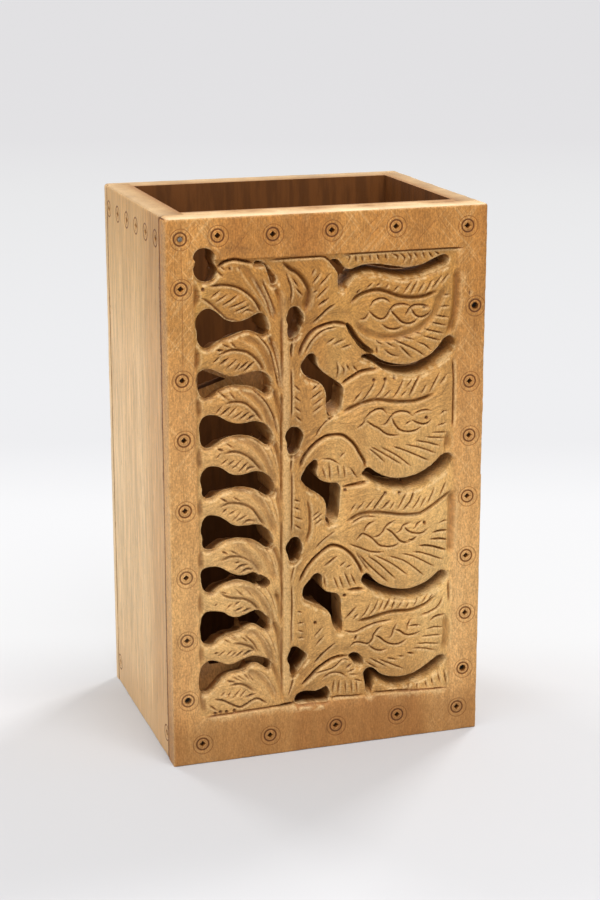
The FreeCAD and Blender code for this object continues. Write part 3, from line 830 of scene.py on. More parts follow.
def leanWalls(mesh, outlines, face, depth):
    # the blade was not held square: under a leaf gap the wall drops away inwards, under a long
    # crescent it rises, and right-hand ends close in
    points = readPoints(mesh)
    for outline in outlines:
        low, high = outline.min(0) - 0.5, outline.max(0) + 0.5
        rows = np.flatnonzero((points[:, 1] > 1.65) & (points[:, 0] > low[0]) & (points[:, 0] < high[0])
                              & (points[:, 2] > low[1]) & (points[:, 2] < high[1]))
        x, y, z = points[rows].T
        following = np.roll(outline, -1, axis=0)
        area = (outline[:, 0] * following[:, 1] - following[:, 0] * outline[:, 1]).sum()
        along = (following - outline) * np.sign(area)
        middle = (following + outline) / 2
        away = np.linalg.norm(middle[None] - np.stack([x, z], 1)[:, None], axis=2)
        weight = np.exp(-((away - away.min(1)[:, None]) / 0.7) ** 2)
        outward = weight @ np.stack([along[:, 1], -along[:, 0]], 1) / (weight @ np.linalg.norm(along, axis=1))[:, None]
        inwards = np.clip(y - np.maximum(sample(face, depth, x, z), 1.3), 0, None)
        under, rightEnd = np.clip(-outward[:, 1], 0, 1), np.clip(outward[:, 0], 0, 1)
        up = under * np.where(x > 38, np.minimum(0.34 * inwards, 1.1), inwards * np.where(x < 26, -0.3, -0.08))
        left = inwards * rightEnd * np.where((x > 17) & (x < 26), 0.25, np.where(x > 58, 0.25, 0))
        shift = np.stack([-left, up], 1)
        length = np.maximum(np.linalg.norm(shift, axis=1), 1e-6)
        room = roomBefore(outline, points[rows][:, (0, 2)], shift / length[:, None])
        points[rows[:, None], (0, 2)] += shift * np.minimum(1, 0.4 * room / length)[:, None]
    writePoints(mesh, points)


def startPiece(name, width, height, pitch):
    bpy.ops.object.select_all(action="DESELECT")
    bpy.ops.mesh.primitive_grid_add(x_subdivisions=round(width / pitch), y_subdivisions=round(height / pitch),
                                    size=1, location=(0, 0, 0))
    piece = bpy.context.object
    piece.name = piece.data.name = name
    points = readPoints(piece.data)
    across, up = (points[:, 0] + 0.5) * width, (points[:, 1] + 0.5) * height
    writePoints(piece.data, np.stack([across, 0 * across, up], 1))
    return piece


def addLoop(mesh, outline, depths):
    # a ring of wall between two depths, wound so that it faces the middle of the hole
    work = bmesh.new()
    work.from_mesh(mesh)
    area = sum(a[0] * b[1] - b[0] * a[1] for a, b in zip(outline, np.roll(outline, -1, axis=0)))
    if area < 0:
        outline = outline[::-1]
    rings = [[work.verts.new((x, depth, z)) for x, z in outline] for depth in depths]
    for i in range(len(outline)):
        j = (i + 1) % len(outline)
        work.faces.new((rings[0][i], rings[0][j], rings[1][j], rings[1][i]))
    work.to_mesh(mesh)
    work.free()


def carveBoard(name, face, depth, board, through=(), recesses=(), broken=(), triangles=100000):
    piece = startPiece(name, board["width"], board["height"], face["pitch"])
    mesh = piece.data
    wall, lip, inset, floor = board["wall"], board["lip"], board["inset"], board.get("floor", 5)
    # gaps: faces whose middle lies in one go, and the torn edge is drawn onto the outline
    middles = np.empty(len(mesh.polygons) * 3)
    mesh.polygons.foreach_get("center", middles)
    middles = middles.reshape(-1, 3)
    gone = np.zeros(len(middles), bool)
    for outline in list(through) + list(recesses):
        low, high = outline.min(0), outline.max(0)
        near = ((middles[:, 0] > low[0]) & (middles[:, 0] < high[0])
                & (middles[:, 2] > low[1]) & (middles[:, 2] < high[1]))
        rows = np.flatnonzero(near)
        gone[rows[insideOf(outline, middles[rows, 0], middles[rows, 2])]] = True
    if gone.any():
        mesh.polygons.foreach_set("select", gone)
        bpy.ops.object.mode_set(mode="EDIT")
        bpy.ops.mesh.select_mode(type="FACE")
        bpy.ops.object.mode_set(mode="OBJECT")
        mesh.polygons.foreach_set("select", gone)
        bpy.ops.object.mode_set(mode="EDIT")
        bpy.ops.mesh.delete(type="FACE")
        bpy.ops.object.mode_set(mode="OBJECT")
    points = readPoints(mesh)
    torn = np.zeros(len(points), bool)
    torn[readEdges(mesh)[openEdges(mesh)].ravel()] = True
    owner = np.full(len(points), -1)
    for number, outline in enumerate(list(through) + list(recesses)):
        low, high = outline.min(0) - 0.5, outline.max(0) + 0.5
        near = torn & ((points[:, 0] > low[0]) & (points[:, 0] < high[0])
                       & (points[:, 2] > low[1]) & (points[:, 2] < high[1]))
        rows = np.flatnonzero(near)
        if not len(rows):
            continue
        foot, away = nearestOn(outline, points[rows, 0], points[rows, 2])
        close = away < 2 * face["pitch"]
        points[rows[close], 0], points[rows[close], 2] = foot[close, 0], foot[close, 1]
        owner[rows[close]] = number
    for seam in (inset, board["width"] - inset):
        if inset:
            points[abs(points[:, 0] - seam) < 0.55 * face["pitch"], 0] = seam
    points[:, 1] = sample(face, depth, points[:, 0], points[:, 2])
    # the top corners are worn round
    for corner, reach in board.get("corners", {}).items():
        cx = reach if corner == "left" else board["width"] - reach
        cz = board["height"] - reach
        dx, dz = points[:, 0] - cx, points[:, 2] - cz
        there = (dz > 0) & ((dx < 0) if corner == "left" else (dx > 0))
        scale = np.maximum(abs(dx), abs(dz)) / np.maximum(np.hypot(dx, dz), 1e-9)
        points[there, 0] = (cx + dx * scale)[there]
        points[there, 2] = (cz + dz * scale)[there]
    writePoints(mesh, points)
    ends = readEdges(mesh)
    rim = openEdges(mesh)
    owned = owner[ends]
    cuts = rim & (owned >= 0).all(1)
    outer = rim & ~cuts
    isThrough = cuts & (owned[:, 0] < len(through))
    isRecess = cuts & ~isThrough
    outerVerts = np.unique(ends[outer])

    def keep(mask):
        # edge masks by their ends, because an operator renumbers edges
        return {tuple(sorted(e)) for e in ends[mask].tolist()}

    throughSet, recessSet, outerSet = keep(isThrough), keep(isRecess), keep(outer)

    def maskOf(pairs):
        now = np.sort(readEdges(mesh), 1)
        code = now[:, 0].astype(np.int64) * 10 ** 7 + now[:, 1]
        wanted = np.array([a * 10 ** 7 + b for a, b in pairs], np.int64)
        return np.isin(code, wanted)

    if throughSet:
        opened = maskOf(throughSet)
        rings = (1.7, 3.2, 4.9, 6.7, wall)
        for number, level in enumerate(rings):
            opened = pullBack(piece, opened, level, 0.16, number)
    if recessSet:
        opened = pullBack(piece, maskOf(recessSet), 3, 0.15, 14)
        pullBack(piece, opened, floor, 0.2, 15)
        for outline in broken:
            addLoop(mesh, outline, (floor, wall))
        points = readPoints(mesh)
        atFloor = (abs(points[readEdges(mesh)][:, :, 1] - floor) < 1e-4).all(1) & openEdges(mesh)
        onEdges(piece, atFloor, lambda: bpy.ops.mesh.fill(use_beauty=True))
    leanWalls(mesh, list(through) + list(recesses), face, depth)
    lapRound = board.get("lapRound", 0)
    if lapRound:
        pullBack(piece, maskOf(outerSet), lip - lapRound)
        opened = openEdges(mesh) & (abs(readPoints(mesh)[readEdges(mesh)][:, :, 1] - lip + lapRound) < 1e-4).all(1)
        opened = pullBack(piece, opened, lip)
        points = readPoints(mesh)
        back = abs(points[:, 1] - lip) < 1e-4
        ledge = lapRound * 0.7
        points[back, 0] = np.clip(points[back, 0], ledge, board["width"] - ledge)
        writePoints(mesh, points)
    else:
        opened = pullBack(piece, maskOf(outerSet), lip)
    points = readPoints(mesh)
    if inset:
        both = points[readEdges(mesh)]
        middle = both.mean(1)
        level = (abs(both[:, 0, 2] - both[:, 1, 2]) < 1e-6)
        inner = (middle[:, 0] > inset) & (middle[:, 0] < board["width"] - inset)
        pullBack(piece, opened & level & inner, wall)
        closeLaps(piece, board)
    else:
        onEdges(piece, opened, lambda: bpy.ops.mesh.fill(use_beauty=True))
    bpy.ops.object.mode_set(mode="EDIT")
    bpy.ops.mesh.select_all(action="SELECT")
    bpy.ops.mesh.remove_doubles(threshold=0.02)
    bpy.ops.mesh.quads_convert_to_tris(quad_method="BEAUTY", ngon_method="BEAUTY")
    bpy.ops.mesh.normals_make_consistent(inside=False)
    bpy.ops.object.mode_set(mode="OBJECT")
    left = int(openEdges(mesh).sum())
    ratio = triangles / len(mesh.polygons)
    if ratio < 1:
        thin = piece.modifiers.new("thin", "DECIMATE")
        thin.ratio = ratio
        bpy.ops.object.modifier_apply(modifier="thin")
    print(name, "open edges", left, "triangles", len(piece.data.polygons))
    return piece


def closeLaps(piece, board):
    # the back of each lip, the sides of the tongue and the back of the tongue
    mesh = piece.data
    wall, lip, inset = board["wall"], board["lip"], board["inset"]
    work = bmesh.new()
    work.from_mesh(mesh)

    def cornerAt(x, y, z):
        return min(work.verts, key=lambda v: (v.co - Vector((x, y, z))).length_squared)

    for x in (inset, board["width"] - inset):
        for y in (lip, wall):
            work.edges.new((cornerAt(x, y, 0), cornerAt(x, y, board["height"])))
    work.to_mesh(mesh)
    work.free()

    def fillWhere(test):
        both = readPoints(mesh)[readEdges(mesh)]
        faces = np.zeros(len(mesh.edges), int)
        used = np.empty(len(mesh.loops), np.int32)
        mesh.loops.foreach_get("edge_index", used)
        faces = np.bincount(used, minlength=len(mesh.edges))
        chosen = (faces < 2) & test(both)
        onEdges(piece, chosen, lambda: bpy.ops.mesh.fill(use_beauty=False))

    right = board["width"] - inset
    fillWhere(lambda e: (abs(e[:, :, 1] - lip) < 1e-4).all(1) & (e[:, :, 0] < inset + 1e-3).all(1))
    fillWhere(lambda e: (abs(e[:, :, 1] - lip) < 1e-4).all(1) & (e[:, :, 0] > right - 1e-3).all(1))
    fillWhere(lambda e: (abs(e[:, :, 0] - inset) < 1e-3).all(1) & (e[:, :, 1] > lip - 1e-3).all(1))
    fillWhere(lambda e: (abs(e[:, :, 0] - right) < 1e-3).all(1) & (e[:, :, 1] > lip - 1e-3).all(1))
    fillWhere(lambda e: (abs(e[:, :, 1] - wall) < 1e-4).all(1))


def finishFace(piece, face, marks, place):
    # colour, wear and painted light and shade by place, ring marks by distance, then the board is stood in the frame
    mesh = piece.data
    points = readPoints(mesh)
    front = points[:, 1] < 1.9
    dark = np.where(front, sample(face, "dark", points[:, 0], points[:, 2]), 0)
    lip = face.get("lip", 99)
    dark = np.where(abs(points[:, 1] - lip) < 0.05, 0.9, dark)
    field = np.where(front, sample(face, "field", points[:, 0], points[:, 2]), 0)
    wearAndGlint = np.where(points[:, 1] < 3, sample(face, "wearAndGlint", points[:, 0], points[:, 2]), 0)
    lit = np.where(front, sample(face, "lit", points[:, 0], points[:, 2]), 0)
    for label, values in (("dark", dark), ("wearAndGlint", wearAndGlint), ("field", field), ("lit", lit)):
        layer = mesh.attributes.new(label, "FLOAT", "POINT")
        layer.data.foreach_set("value", values.astype(np.float32))
    count = len(mesh.polygons)
    middles, normals = np.empty(count * 3), np.empty(count * 3)
    mesh.polygons.foreach_get("center", middles)
    mesh.polygons.foreach_get("normal", normals)
    middles, normals = middles.reshape(-1, 3), normals.reshape(-1, 3)
    # painted shade on the unwaxed inside: inner faces and walls dark, upward walls darker the deeper they lie,
    # left-facing walls and the crescents' lower walls and floors kept lighter
    within = ((middles[:, 1] > 1.1) & (middles[:, 0] > 1) & (middles[:, 0] < face["width"] - 1)
              & (middles[:, 2] > 1) & (middles[:, 2] < face["height"] - 0.5))
    deeper, crescent = middles[:, 1] - 1.3, middles[:, 0] > 38
    upwards, leftwards = np.clip(1.6 * normals[:, 2], 0, 1), np.clip(-1.6 * normals[:, 0], 0, 1)
    inGap = 0.9 - 0.28 * leftwards
    below = np.where(crescent, np.clip(2.5 * deeper, 0, 0.32), 0.6 * np.clip(6 * deeper + 1, 0, 1) + 0.3 * np.clip(deeper / 1.5, 0, 1))
    inGap += upwards * (below - inGap)
    steep = np.clip((normals[:, 1] + 0.75) / 0.35 + 2 * deeper - 1.2, 0, 1)
    inGap *= np.maximum(steep, upwards * ~crescent * np.clip((normals[:, 1] + 0.95) / 0.2, 0, 1))
    rawWoodAndShade = within * np.where(normals[:, 1] > 0.7, 1.0, np.where(normals[:, 1] > -0.8, inGap, np.where(crescent, 0, 0.2)))
    layer = mesh.attributes.new("rawWoodAndShade", "FLOAT", "FACE")
    layer.data.foreach_set("value", rawWoodAndShade.astype(np.float32))
    centres = np.array(marks or [(-50, -50)], float)
    nearest = np.linalg.norm(middles[:, None, (0, 2)] - centres[None], axis=2).argmin(1)
    starts, totals = np.empty(count, np.int32), np.empty(count, np.int32)
    mesh.polygons.foreach_get("loop_start", starts)
    mesh.polygons.foreach_get("loop_total", totals)
    corners = np.empty(len(mesh.loops), np.int32)
    mesh.loops.foreach_get("vertex_index", corners)
    owner = np.repeat(nearest, totals)
    offset = points[corners][:, (0, 2)] - centres[owner]
    offset[np.repeat(middles[:, 1] > 1.9, totals)] += 50    # no rings on the inner face
    vector = np.stack([offset[:, 0], offset[:, 1], (owner * 0.37) % 1.0], 1)
    layer = mesh.attributes.new("mark", "FLOAT_VECTOR", "CORNER")
    layer.data.foreach_set("vector", vector.astype(np.float32).ravel())
    # fibre coordinates: across, along, seed; in the carved field they turn with the nearest stroke
    wandering = np.zeros(count, int) - 1
    if face["grain"]:
        grain = np.array(face["grain"])
        rows = np.flatnonzero((sample(face, "field", middles[:, 0], middles[:, 2]) > 0.5) & (middles[:, 1] < 1.9))
        for some in np.array_split(rows, 40):
            wandering[some] = np.linalg.norm(middles[some][:, None, (0, 2)] - grain[None, :, :2], axis=2).argmin(1)
    else:
        grain = np.zeros((1, 3))
    chosen = np.repeat(wandering, totals)
    px, pz, angle = grain[chosen].T
    x, y, z = points[corners].T
    along = (x - px) * np.cos(angle) + (z - pz) * np.sin(angle)
    across = (z - pz) * np.cos(angle) - (x - px) * np.sin(angle)
    loose = chosen < 0
    vector = np.stack([np.where(loose, x + 0.7 * y, across), np.where(loose, z, along), chosen * 3.7], 1)
    layer = mesh.attributes.new("fibre", "FLOAT_VECTOR", "CORNER")
    layer.data.foreach_set("vector", vector.astype(np.float32).ravel())
    top = (normals[:, 2] > 0.8) & (middles[:, 2] > face["height"] - 1.2)
    mesh.polygons.foreach_set("material_index", top.astype(np.int32))
    writePoints(mesh, place(points) * mm)
    bpy.ops.object.select_all(action="DESELECT")
    piece.select_set(True)
    bpy.context.view_layer.objects.active = piece
    bpy.ops.object.shade_smooth_by_angle(angle=math.radians(33))


# ---- woods and steel

waxedFront = {
    # mango wood, carved and waxed: golden, blotchy, with painted shade browner towards the top and painted light paler
    # low down, the cuts brown
    "tones": ("b87f46", "d09c5d", "dead6f"), "leaf": ("b98a4d", "cf9f5e", "dcb271"),
    "heightTint": ((0, "e8e0d8"), (36, "fafcff"), (62, "f0ebe4"), (85, "e2d5c4"), (106, "d4c2a1"), (127, "dac6a4")),
    "darkest": "4f3313", "pale": "e8c48c", "rawWoodAndShade": "74451c", "foot": "8c5c29",
    "fleck": 0.16, "fibre": 0.18, "fibreScale": (4.2, 0.8, 1), "pore": 0.15, "scratch": 0.21,
    # ring marks: radius, half width, shift and strength
    "rings": ((0.9, 0.14, 0, 0.25), (1.42, 0.32, 0, 0.8), (2.35, 0.2, 0.12, 0.34)),
    "bump": 0.5, "roughness": 0.5, "blotch": 0.05}
waxedSide = {
    # the same wood planed smooth and paler, with straight upright grain
    "tones": ("d5a975", "e6c08e", "f0cfa0"), "leaf": ("d5a975", "e6c08e", "f0cfa0"),
    "heightTint": ((0, "f3ede5"), (30, "f6f5f1"), (60, "fafaf9"), (90, "faf7f3"), (108, "e9e1d0"), (127, "ddcfb6")),
    "darkest": "4f3316", "pale": "f3dcb4", "rawWoodAndShade": "6b3f1a", "foot": "d0a878",
    "fleck": 0.06, "fibre": 0.16, "fibreScale": (1.6, 0.07, 1), "pore": 0.35, "scratch": 0.0,
    "rings": ((1.85, 0.3, 0, 0.7), (1.1, 0.16, 0, 0.3)),
    "bump": 0.3, "roughness": 0.5, "blotch": 0.03}


def mixColour(tree, factor, a, b, blend="MIX"):
    return addNode(tree, "Mix", {0: factor, 6: a, 7: b}, data_type="RGBA", blend_type=blend).outputs[2]


def ramp(tree, factor, stops):
    made = addNode(tree, "ValToRGB", {"Fac": factor})
    bands = made.color_ramp.elements
    while len(bands) < len(stops):
        bands.new(0.5)
    for band, (at, tone) in zip(bands, stops):
        band.position, band.color = at, tone
    return made.outputs["Color"]


def spread(tree, value, low, high, to=(0, 1), smooth=True):
    return addNode(tree, "MapRange", {"Value": value, "From Min": low, "From Max": high, "To Min": to[0], "To Max": to[1]},
                   interpolation_type="SMOOTHSTEP" if smooth else "LINEAR").outputs["Result"]


def sum2(tree, operation, a, b):
    return addNode(tree, "Math", {0: a, 1: b}, operation=operation).outputs[0]


def waxedWood(name, look):
    material = bpy.data.materials.new(name)
    material.use_nodes = True
    tree = material.node_tree
    tree.nodes.clear()
    where = addNode(tree, "TexCoord").outputs["Object"]
    # millimetres; the upright grain is squeezed eight times along z
    even = addNode(tree, "Mapping", {"Vector": where, "Scale": (1000, 1000, 1000)}).outputs[0]
    upright = addNode(tree, "Mapping", {"Vector": where, "Scale": (1000, 1000, 120)}).outputs[0]
    height = addNode(tree, "SeparateXYZ", {0: even}).outputs[2]
    blotch = addNode(tree, "TexNoise", {"Vector": upright, "Scale": look["blotch"], "Detail": 4, "Distortion": 0.6}).outputs[0]
    streak = addNode(tree, "TexNoise", {"Vector": upright, "Scale": 0.5, "Detail": 3, "Roughness": 0.6}).outputs[0]
    fleck = addNode(tree, "TexNoise", {"Vector": even, "Scale": 2.1, "Detail": 2, "Roughness": 0.6}).outputs[0]
    # fibres about half a millimetre apart, along the grain or the way the knife ran
    run = addNode(tree, "Mapping", {"Vector": addNode(tree, "Attribute", attribute_name="fibre").outputs["Vector"],
                                    "Scale": look["fibreScale"]}).outputs[0]
    fibre = addNode(tree, "TexNoise", {"Vector": run, "Scale": 1.0, "Detail": 2, "Roughness": 0.6}).outputs[0]
    pores = addNode(tree, "TexNoise", {"Vector": upright, "Scale": 2.0, "Detail": 1}).outputs[0]
    poreMask = spread(tree, pores, 0.62, 0.74)
    low, middle, high = (colour(c) for c in look["tones"])
    tone = ramp(tree, blotch, [(0.32, low), (0.5, middle), (0.68, high)])
    leaf = ramp(tree, blotch, [(at, colour(c)) for at, c in zip((0.32, 0.5, 0.68), look["leaf"])])
    field = addNode(tree, "Attribute", attribute_name="field").outputs["Fac"]
    tone = mixColour(tree, field, tone, leaf)
    # painted light and shade by height: browner towards the top, paler low down
    heightShare = spread(tree, sum2(tree, "ADD", height, sum2(tree, "MULTIPLY", blotch, 16)), 8, 135, smooth=False)
    tint = ramp(tree, heightShare, [(at / 127, colour(c)) for at, c in look["heightTint"]])
    tone = mixColour(tree, 1.0, tone, tint, "MULTIPLY")
    if look["scratch"]:    # fine slanting scratches of the scraper, two ways, in patches
        patches = spread(tree, blotch, 0.42, 0.6, (0.1, 1))
        patches = sum2(tree, "MULTIPLY", patches, spread(tree, field, 0, 0.5, (1, 0.2)))
        for lean, seed in ((48, 0), (-50, 40)):
            slant = addNode(tree, "Mapping", {"Vector": where, "Rotation": (0, math.radians(lean), 0)}).outputs[0]
            slant = addNode(tree, "Mapping", {"Vector": slant, "Location": (seed, 0, 0), "Scale": (120, 1000, 3000)}).outputs[0]
            scored = addNode(tree, "TexNoise", {"Vector": slant, "Scale": 1.0, "Detail": 0}).outputs[0]
            scored = sum2(tree, "MULTIPLY", spread(tree, scored, 0.64, 0.74), patches)
            tone = mixColour(tree, sum2(tree, "MULTIPLY", scored, look["scratch"]), tone, colour("e6bd82"))
    for value, amount in ((fibre, look["fibre"]), (fleck, look["fleck"]), (streak, 0.5 * look["fibre"])):
        tone = addNode(tree, "VectorMath", {0: tone, 3: spread(tree, value, 0.3, 0.7, (1 - amount, 1 + amount))},
                       operation="SCALE").outputs[0]
    tone = mixColour(tree, sum2(tree, "MULTIPLY", poreMask, look["pore"]), tone, colour(look["darkest"]))
    foot = spread(tree, sum2(tree, "ADD", height, sum2(tree, "MULTIPLY", blotch, 6)), 17, 9)
    tone = mixColour(tree, sum2(tree, "MULTIPLY", foot, 0.5), tone, colour(look["foot"]))
    # unwaxed wood inside: rough, brown, with upright stains, and painted shade darkening the gap walls and the well
    rawWoodAndShade = addNode(tree, "Attribute", attribute_name="rawWoodAndShade").outputs["Fac"]
    inside = addNode(tree, "VectorMath", {0: colour(look["rawWoodAndShade"])[:3], 3: spread(tree, streak, 0.35, 0.65, (0.78, 1.15))},
                     operation="SCALE").outputs[0]
    tone = mixColour(tree, rawWoodAndShade, tone, inside)
    mark = addNode(tree, "SeparateXYZ", {0: addNode(tree, "Attribute", attribute_name="mark").outputs["Vector"]}).outputs
    rings = None
    for radius, half, shift, strength in look["rings"]:
        flat = addNode(tree, "CombineXYZ", {0: sum2(tree, "SUBTRACT", mark[0], shift), 1: sum2(tree, "ADD", mark[1], shift)}).outputs[0]
        away = addNode(tree, "VectorMath", {0: flat}, operation="LENGTH").outputs["Value"]
        off = sum2(tree, "ABSOLUTE", sum2(tree, "SUBTRACT", away, radius), 0)
        ring = sum2(tree, "MULTIPLY", spread(tree, off, half, 0.03), strength)
        rings = ring if rings is None else sum2(tree, "MAXIMUM", rings, ring)
    rings = sum2(tree, "MULTIPLY", rings, spread(tree, fleck, 0.25, 0.6, (0.6, 1)))
    dark = addNode(tree, "Attribute", attribute_name="dark").outputs["Fac"]
    shadeDirtAndRings = sum2(tree, "MAXIMUM", sum2(tree, "MULTIPLY", dark, spread(tree, fleck, 0.25, 0.75, (0.75, 1.15))), rings)
    # wax, dirt and painted shade in the cuts: a brown film where thin, nearly black where it fills the cut
    filmAndShade = mixColour(tree, 1.0, tone, colour("ad9068"), "MULTIPLY")
    tone = mixColour(tree, spread(tree, shadeDirtAndRings, 0, 0.5), tone, filmAndShade)
    tone = mixColour(tree, spread(tree, shadeDirtAndRings, 0.35, 1.05), tone, colour(look["darkest"]))
    # painted highlights on cut lips, the stem's rod and the low left, with the pale torn rims of the gaps
    lit = sum2(tree, "MULTIPLY", addNode(tree, "Attribute", attribute_name="lit").outputs["Fac"], spread(tree, fleck, 0.3, 0.6, (0.3, 0.75)))
    tone = mixColour(tree, lit, tone, colour(look["pale"]))
    # worn pale edges, partly a painted highlight along the arrises
    wearAndGlint = addNode(tree, "Attribute", attribute_name="wearAndGlint").outputs["Fac"]
    worn = sum2(tree, "MULTIPLY", wearAndGlint, spread(tree, fleck, 0.35, 0.6, (0.1, 0.4)))
    tone = mixColour(tree, worn, tone, colour(look["pale"]))
    relief = sum2(tree, "ADD", sum2(tree, "MULTIPLY", fleck, 0.3), sum2(tree, "MULTIPLY", fibre, 0.8))
    relief = sum2(tree, "SUBTRACT", relief, sum2(tree, "MULTIPLY", rings, 0.5))
    relief = sum2(tree, "SUBTRACT", relief, sum2(tree, "MULTIPLY", poreMask, 0.4))
    bump = addNode(tree, "Bump", {"Height": relief, "Strength": look["bump"], "Distance": 0.00025}).outputs[0]
    shader = addNode(tree, "BsdfPrincipled", {"Base Color": tone, "Roughness": spread(tree, fleck, 0.2, 0.8, (look["roughness"] - 0.08, look["roughness"] + 0.12)),
                                              "Normal": bump, "IOR": 1.48, "Specular IOR Level": 0.3})
    addNode(tree, "OutputMaterial", {"Surface": shader.outputs[0]})
    return material


def endGrain(name, tones, bright):
    # sawn across the fibres: fine growth lines and small open pores
    material = bpy.data.materials.new(name)
    material.use_nodes = True
    tree = material.node_tree
    tree.nodes.clear()
    where = addNode(tree, "TexCoord").outputs["Object"]
    even = addNode(tree, "Mapping", {"Vector": where, "Scale": (1000, 1000, 1000)}).outputs[0]
    blotch = addNode(tree, "TexNoise", {"Vector": even, "Scale": 0.11, "Detail": 4, "Roughness": 0.6}).outputs[0]
    lines = addNode(tree, "TexWave", {"Vector": even, "Scale": 0.25, "Distortion": 3.5, "Detail": 3, "Detail Scale": 0.6},
                    bands_direction="Y").outputs["Fac"]
    fleck = addNode(tree, "TexNoise", {"Vector": even, "Scale": 2.6, "Detail": 3, "Roughness": 0.7}).outputs[0]
    tone = ramp(tree, blotch, [(at, colour(c)) for at, c in zip((0.3, 0.45, 0.65), tones)])
    # browner in a ragged band along the well, where hands and pens rub the wax in
    across = addNode(tree, "SeparateXYZ", {0: even}).outputs
    fromSide = sum2(tree, "SUBTRACT", sum2(tree, "ABSOLUTE", across[0], 0), 31.9)
    fromEnd = sum2(tree, "SUBTRACT", sum2(tree, "ABSOLUTE", sum2(tree, "SUBTRACT", across[1], 0.5), 0), 21.5)
    rubbed = sum2(tree, "SUBTRACT", sum2(tree, "MAXIMUM", fromSide, fromEnd), sum2(tree, "MULTIPLY", blotch, 2.4))
    tone = mixColour(tree, spread(tree, rubbed, 0.7, -0.9, (0, 0.75)), tone, colour("8f5f30"))
    tone = mixColour(tree, sum2(tree, "MULTIPLY", lines, 0.18), tone, colour("b58a58"))
    speck = spread(tree, fleck, 0.3, 0.7, (0.86, 1.1))
    tone = addNode(tree, "VectorMath", {0: tone, 3: speck}, operation="SCALE").outputs[0]
    # the worn arris painted pale, partly a painted highlight
    wearAndGlint = addNode(tree, "Attribute", attribute_name="wearAndGlint").outputs["Fac"]
    tone = mixColour(tree, sum2(tree, "MULTIPLY", wearAndGlint, bright), tone, colour("f0d8ae"))
    bump = addNode(tree, "Bump", {"Height": fleck, "Strength": 0.35, "Distance": 0.0002}).outputs[0]
    shader = addNode(tree, "BsdfPrincipled", {"Base Color": tone, "Roughness": 0.55, "Normal": bump, "IOR": 1.48, "Specular IOR Level": 0.3})
    addNode(tree, "OutputMaterial", {"Surface": shader.outputs[0]})
    return material


def dullSteel(name):
    # drawn iron wire gone grey in the wood
    material = bpy.data.materials.new(name)
    material.use_nodes = True
    tree = material.node_tree
    tree.nodes.clear()
    where = addNode(tree, "TexCoord").outputs["Object"]
    tarnish = addNode(tree, "TexNoise", {"Vector": where, "Scale": 1800, "Detail": 3}).outputs[0]
    tone = ramp(tree, tarnish, [(0.35, colour("5a554e")), (0.65, colour("948d82"))])
    deep = sum2(tree, "ABSOLUTE", addNode(tree, "SeparateXYZ", {0: where}).outputs[1], 0)    # punched in, it is nearly black below the wood's face
    tone = mixColour(tree, spread(tree, deep, 0.0293, 0.0288), tone, colour("1f1812"))
    shader = addNode(tree, "BsdfPrincipled", {"Base Color": tone, "Metallic": 0.6, "Roughness": spread(tree, tarnish, 0.3, 0.7, (0.5, 0.75))})
    addNode(tree, "OutputMaterial", {"Surface": shader.outputs[0]})
    return material


frontWood = waxedWood("mango_wood_carved_and_waxed", waxedFront)
sideWood = waxedWood("mango_wood_planed", waxedSide)
rimWood = endGrain("mango_wood_end_grain", ("9a6b3d", "bc9260", "d6b485"), 0.45)
rimDark = endGrain("mango_wood_end_grain_waxed", ("734b23", "946a39", "b08856"), 0.25)
pinSteel = dullSteel("iron_wire_tarnished")

# ---- front board

frontBoard = {"width": 75, "height": 127, "wall": 8.5, "lip": 5.2, "inset": 5.6, "floor": 5, "lapRound": 0.3,
              "corners": {"left": 1.3, "right": 0.7}}
frontMarks = [
    (11.7, 122.9), (24.2, 122.6), (37.8, 122.8), (52.9, 122.9), (70.1, 122.2),
    (3.3, 111.6), (3.3, 91.3), (3.5, 77.7), (3.5, 61.4), (3.5, 45.7), (3.5, 30.6),
    (71.4, 86.2), (71.6, 73.3), (71.5, 58.6), (71.5, 44), (71.6, 29.7),
    (6.8, 4.9), (23.1, 4.9), (39.3, 5.2), (54.7, 5.9), (70, 5.9)]
frontPinned = [(3.3, 122.5), (3.5, 16), (72.3, 103.8), (71.3, 15.7)]


def prick(face, x, z, size=0.75):
    # a square awl's mark, standing on a corner, dark inside
    part, away = patch(face, x, z, 1.2)
    dx, dz = face["xs"][part[1]][None, :] - x, face["zs"][part[0]][:, None] - z
    square = 1 - np.clip((abs(dx) + abs(dz)) / size, 0, 1)
    face["cut"][part] = np.maximum(face["cut"][part], np.minimum(square * 3.2, 1.1))
    face["dark"][part] = np.maximum(face["dark"][part], np.clip(square * 4, 0, 1))


def scribe(face, x, z, rings):
    # the grooves of the ring punch
    for radius, half, shift, strength in rings:
        part, away = patch(face, x + shift, z - shift, radius + half)
        face["cut"][part] += 0.15 * strength * np.clip(1 - abs(away - radius) / half, 0, 1)


def pinPit(face, x, z, deep, darkening=1.0):
    # the pit round a pin, cut in and darkened
    part, away = patch(face, x, z, 1)
    face["cut"][part] = np.maximum(face["cut"][part], deep * np.clip((0.75 - away) / 0.15, 0, 1))
    face["dark"][part] = np.maximum(face["dark"][part], darkening * np.clip((0.85 - away) / 0.2, 0, 1))


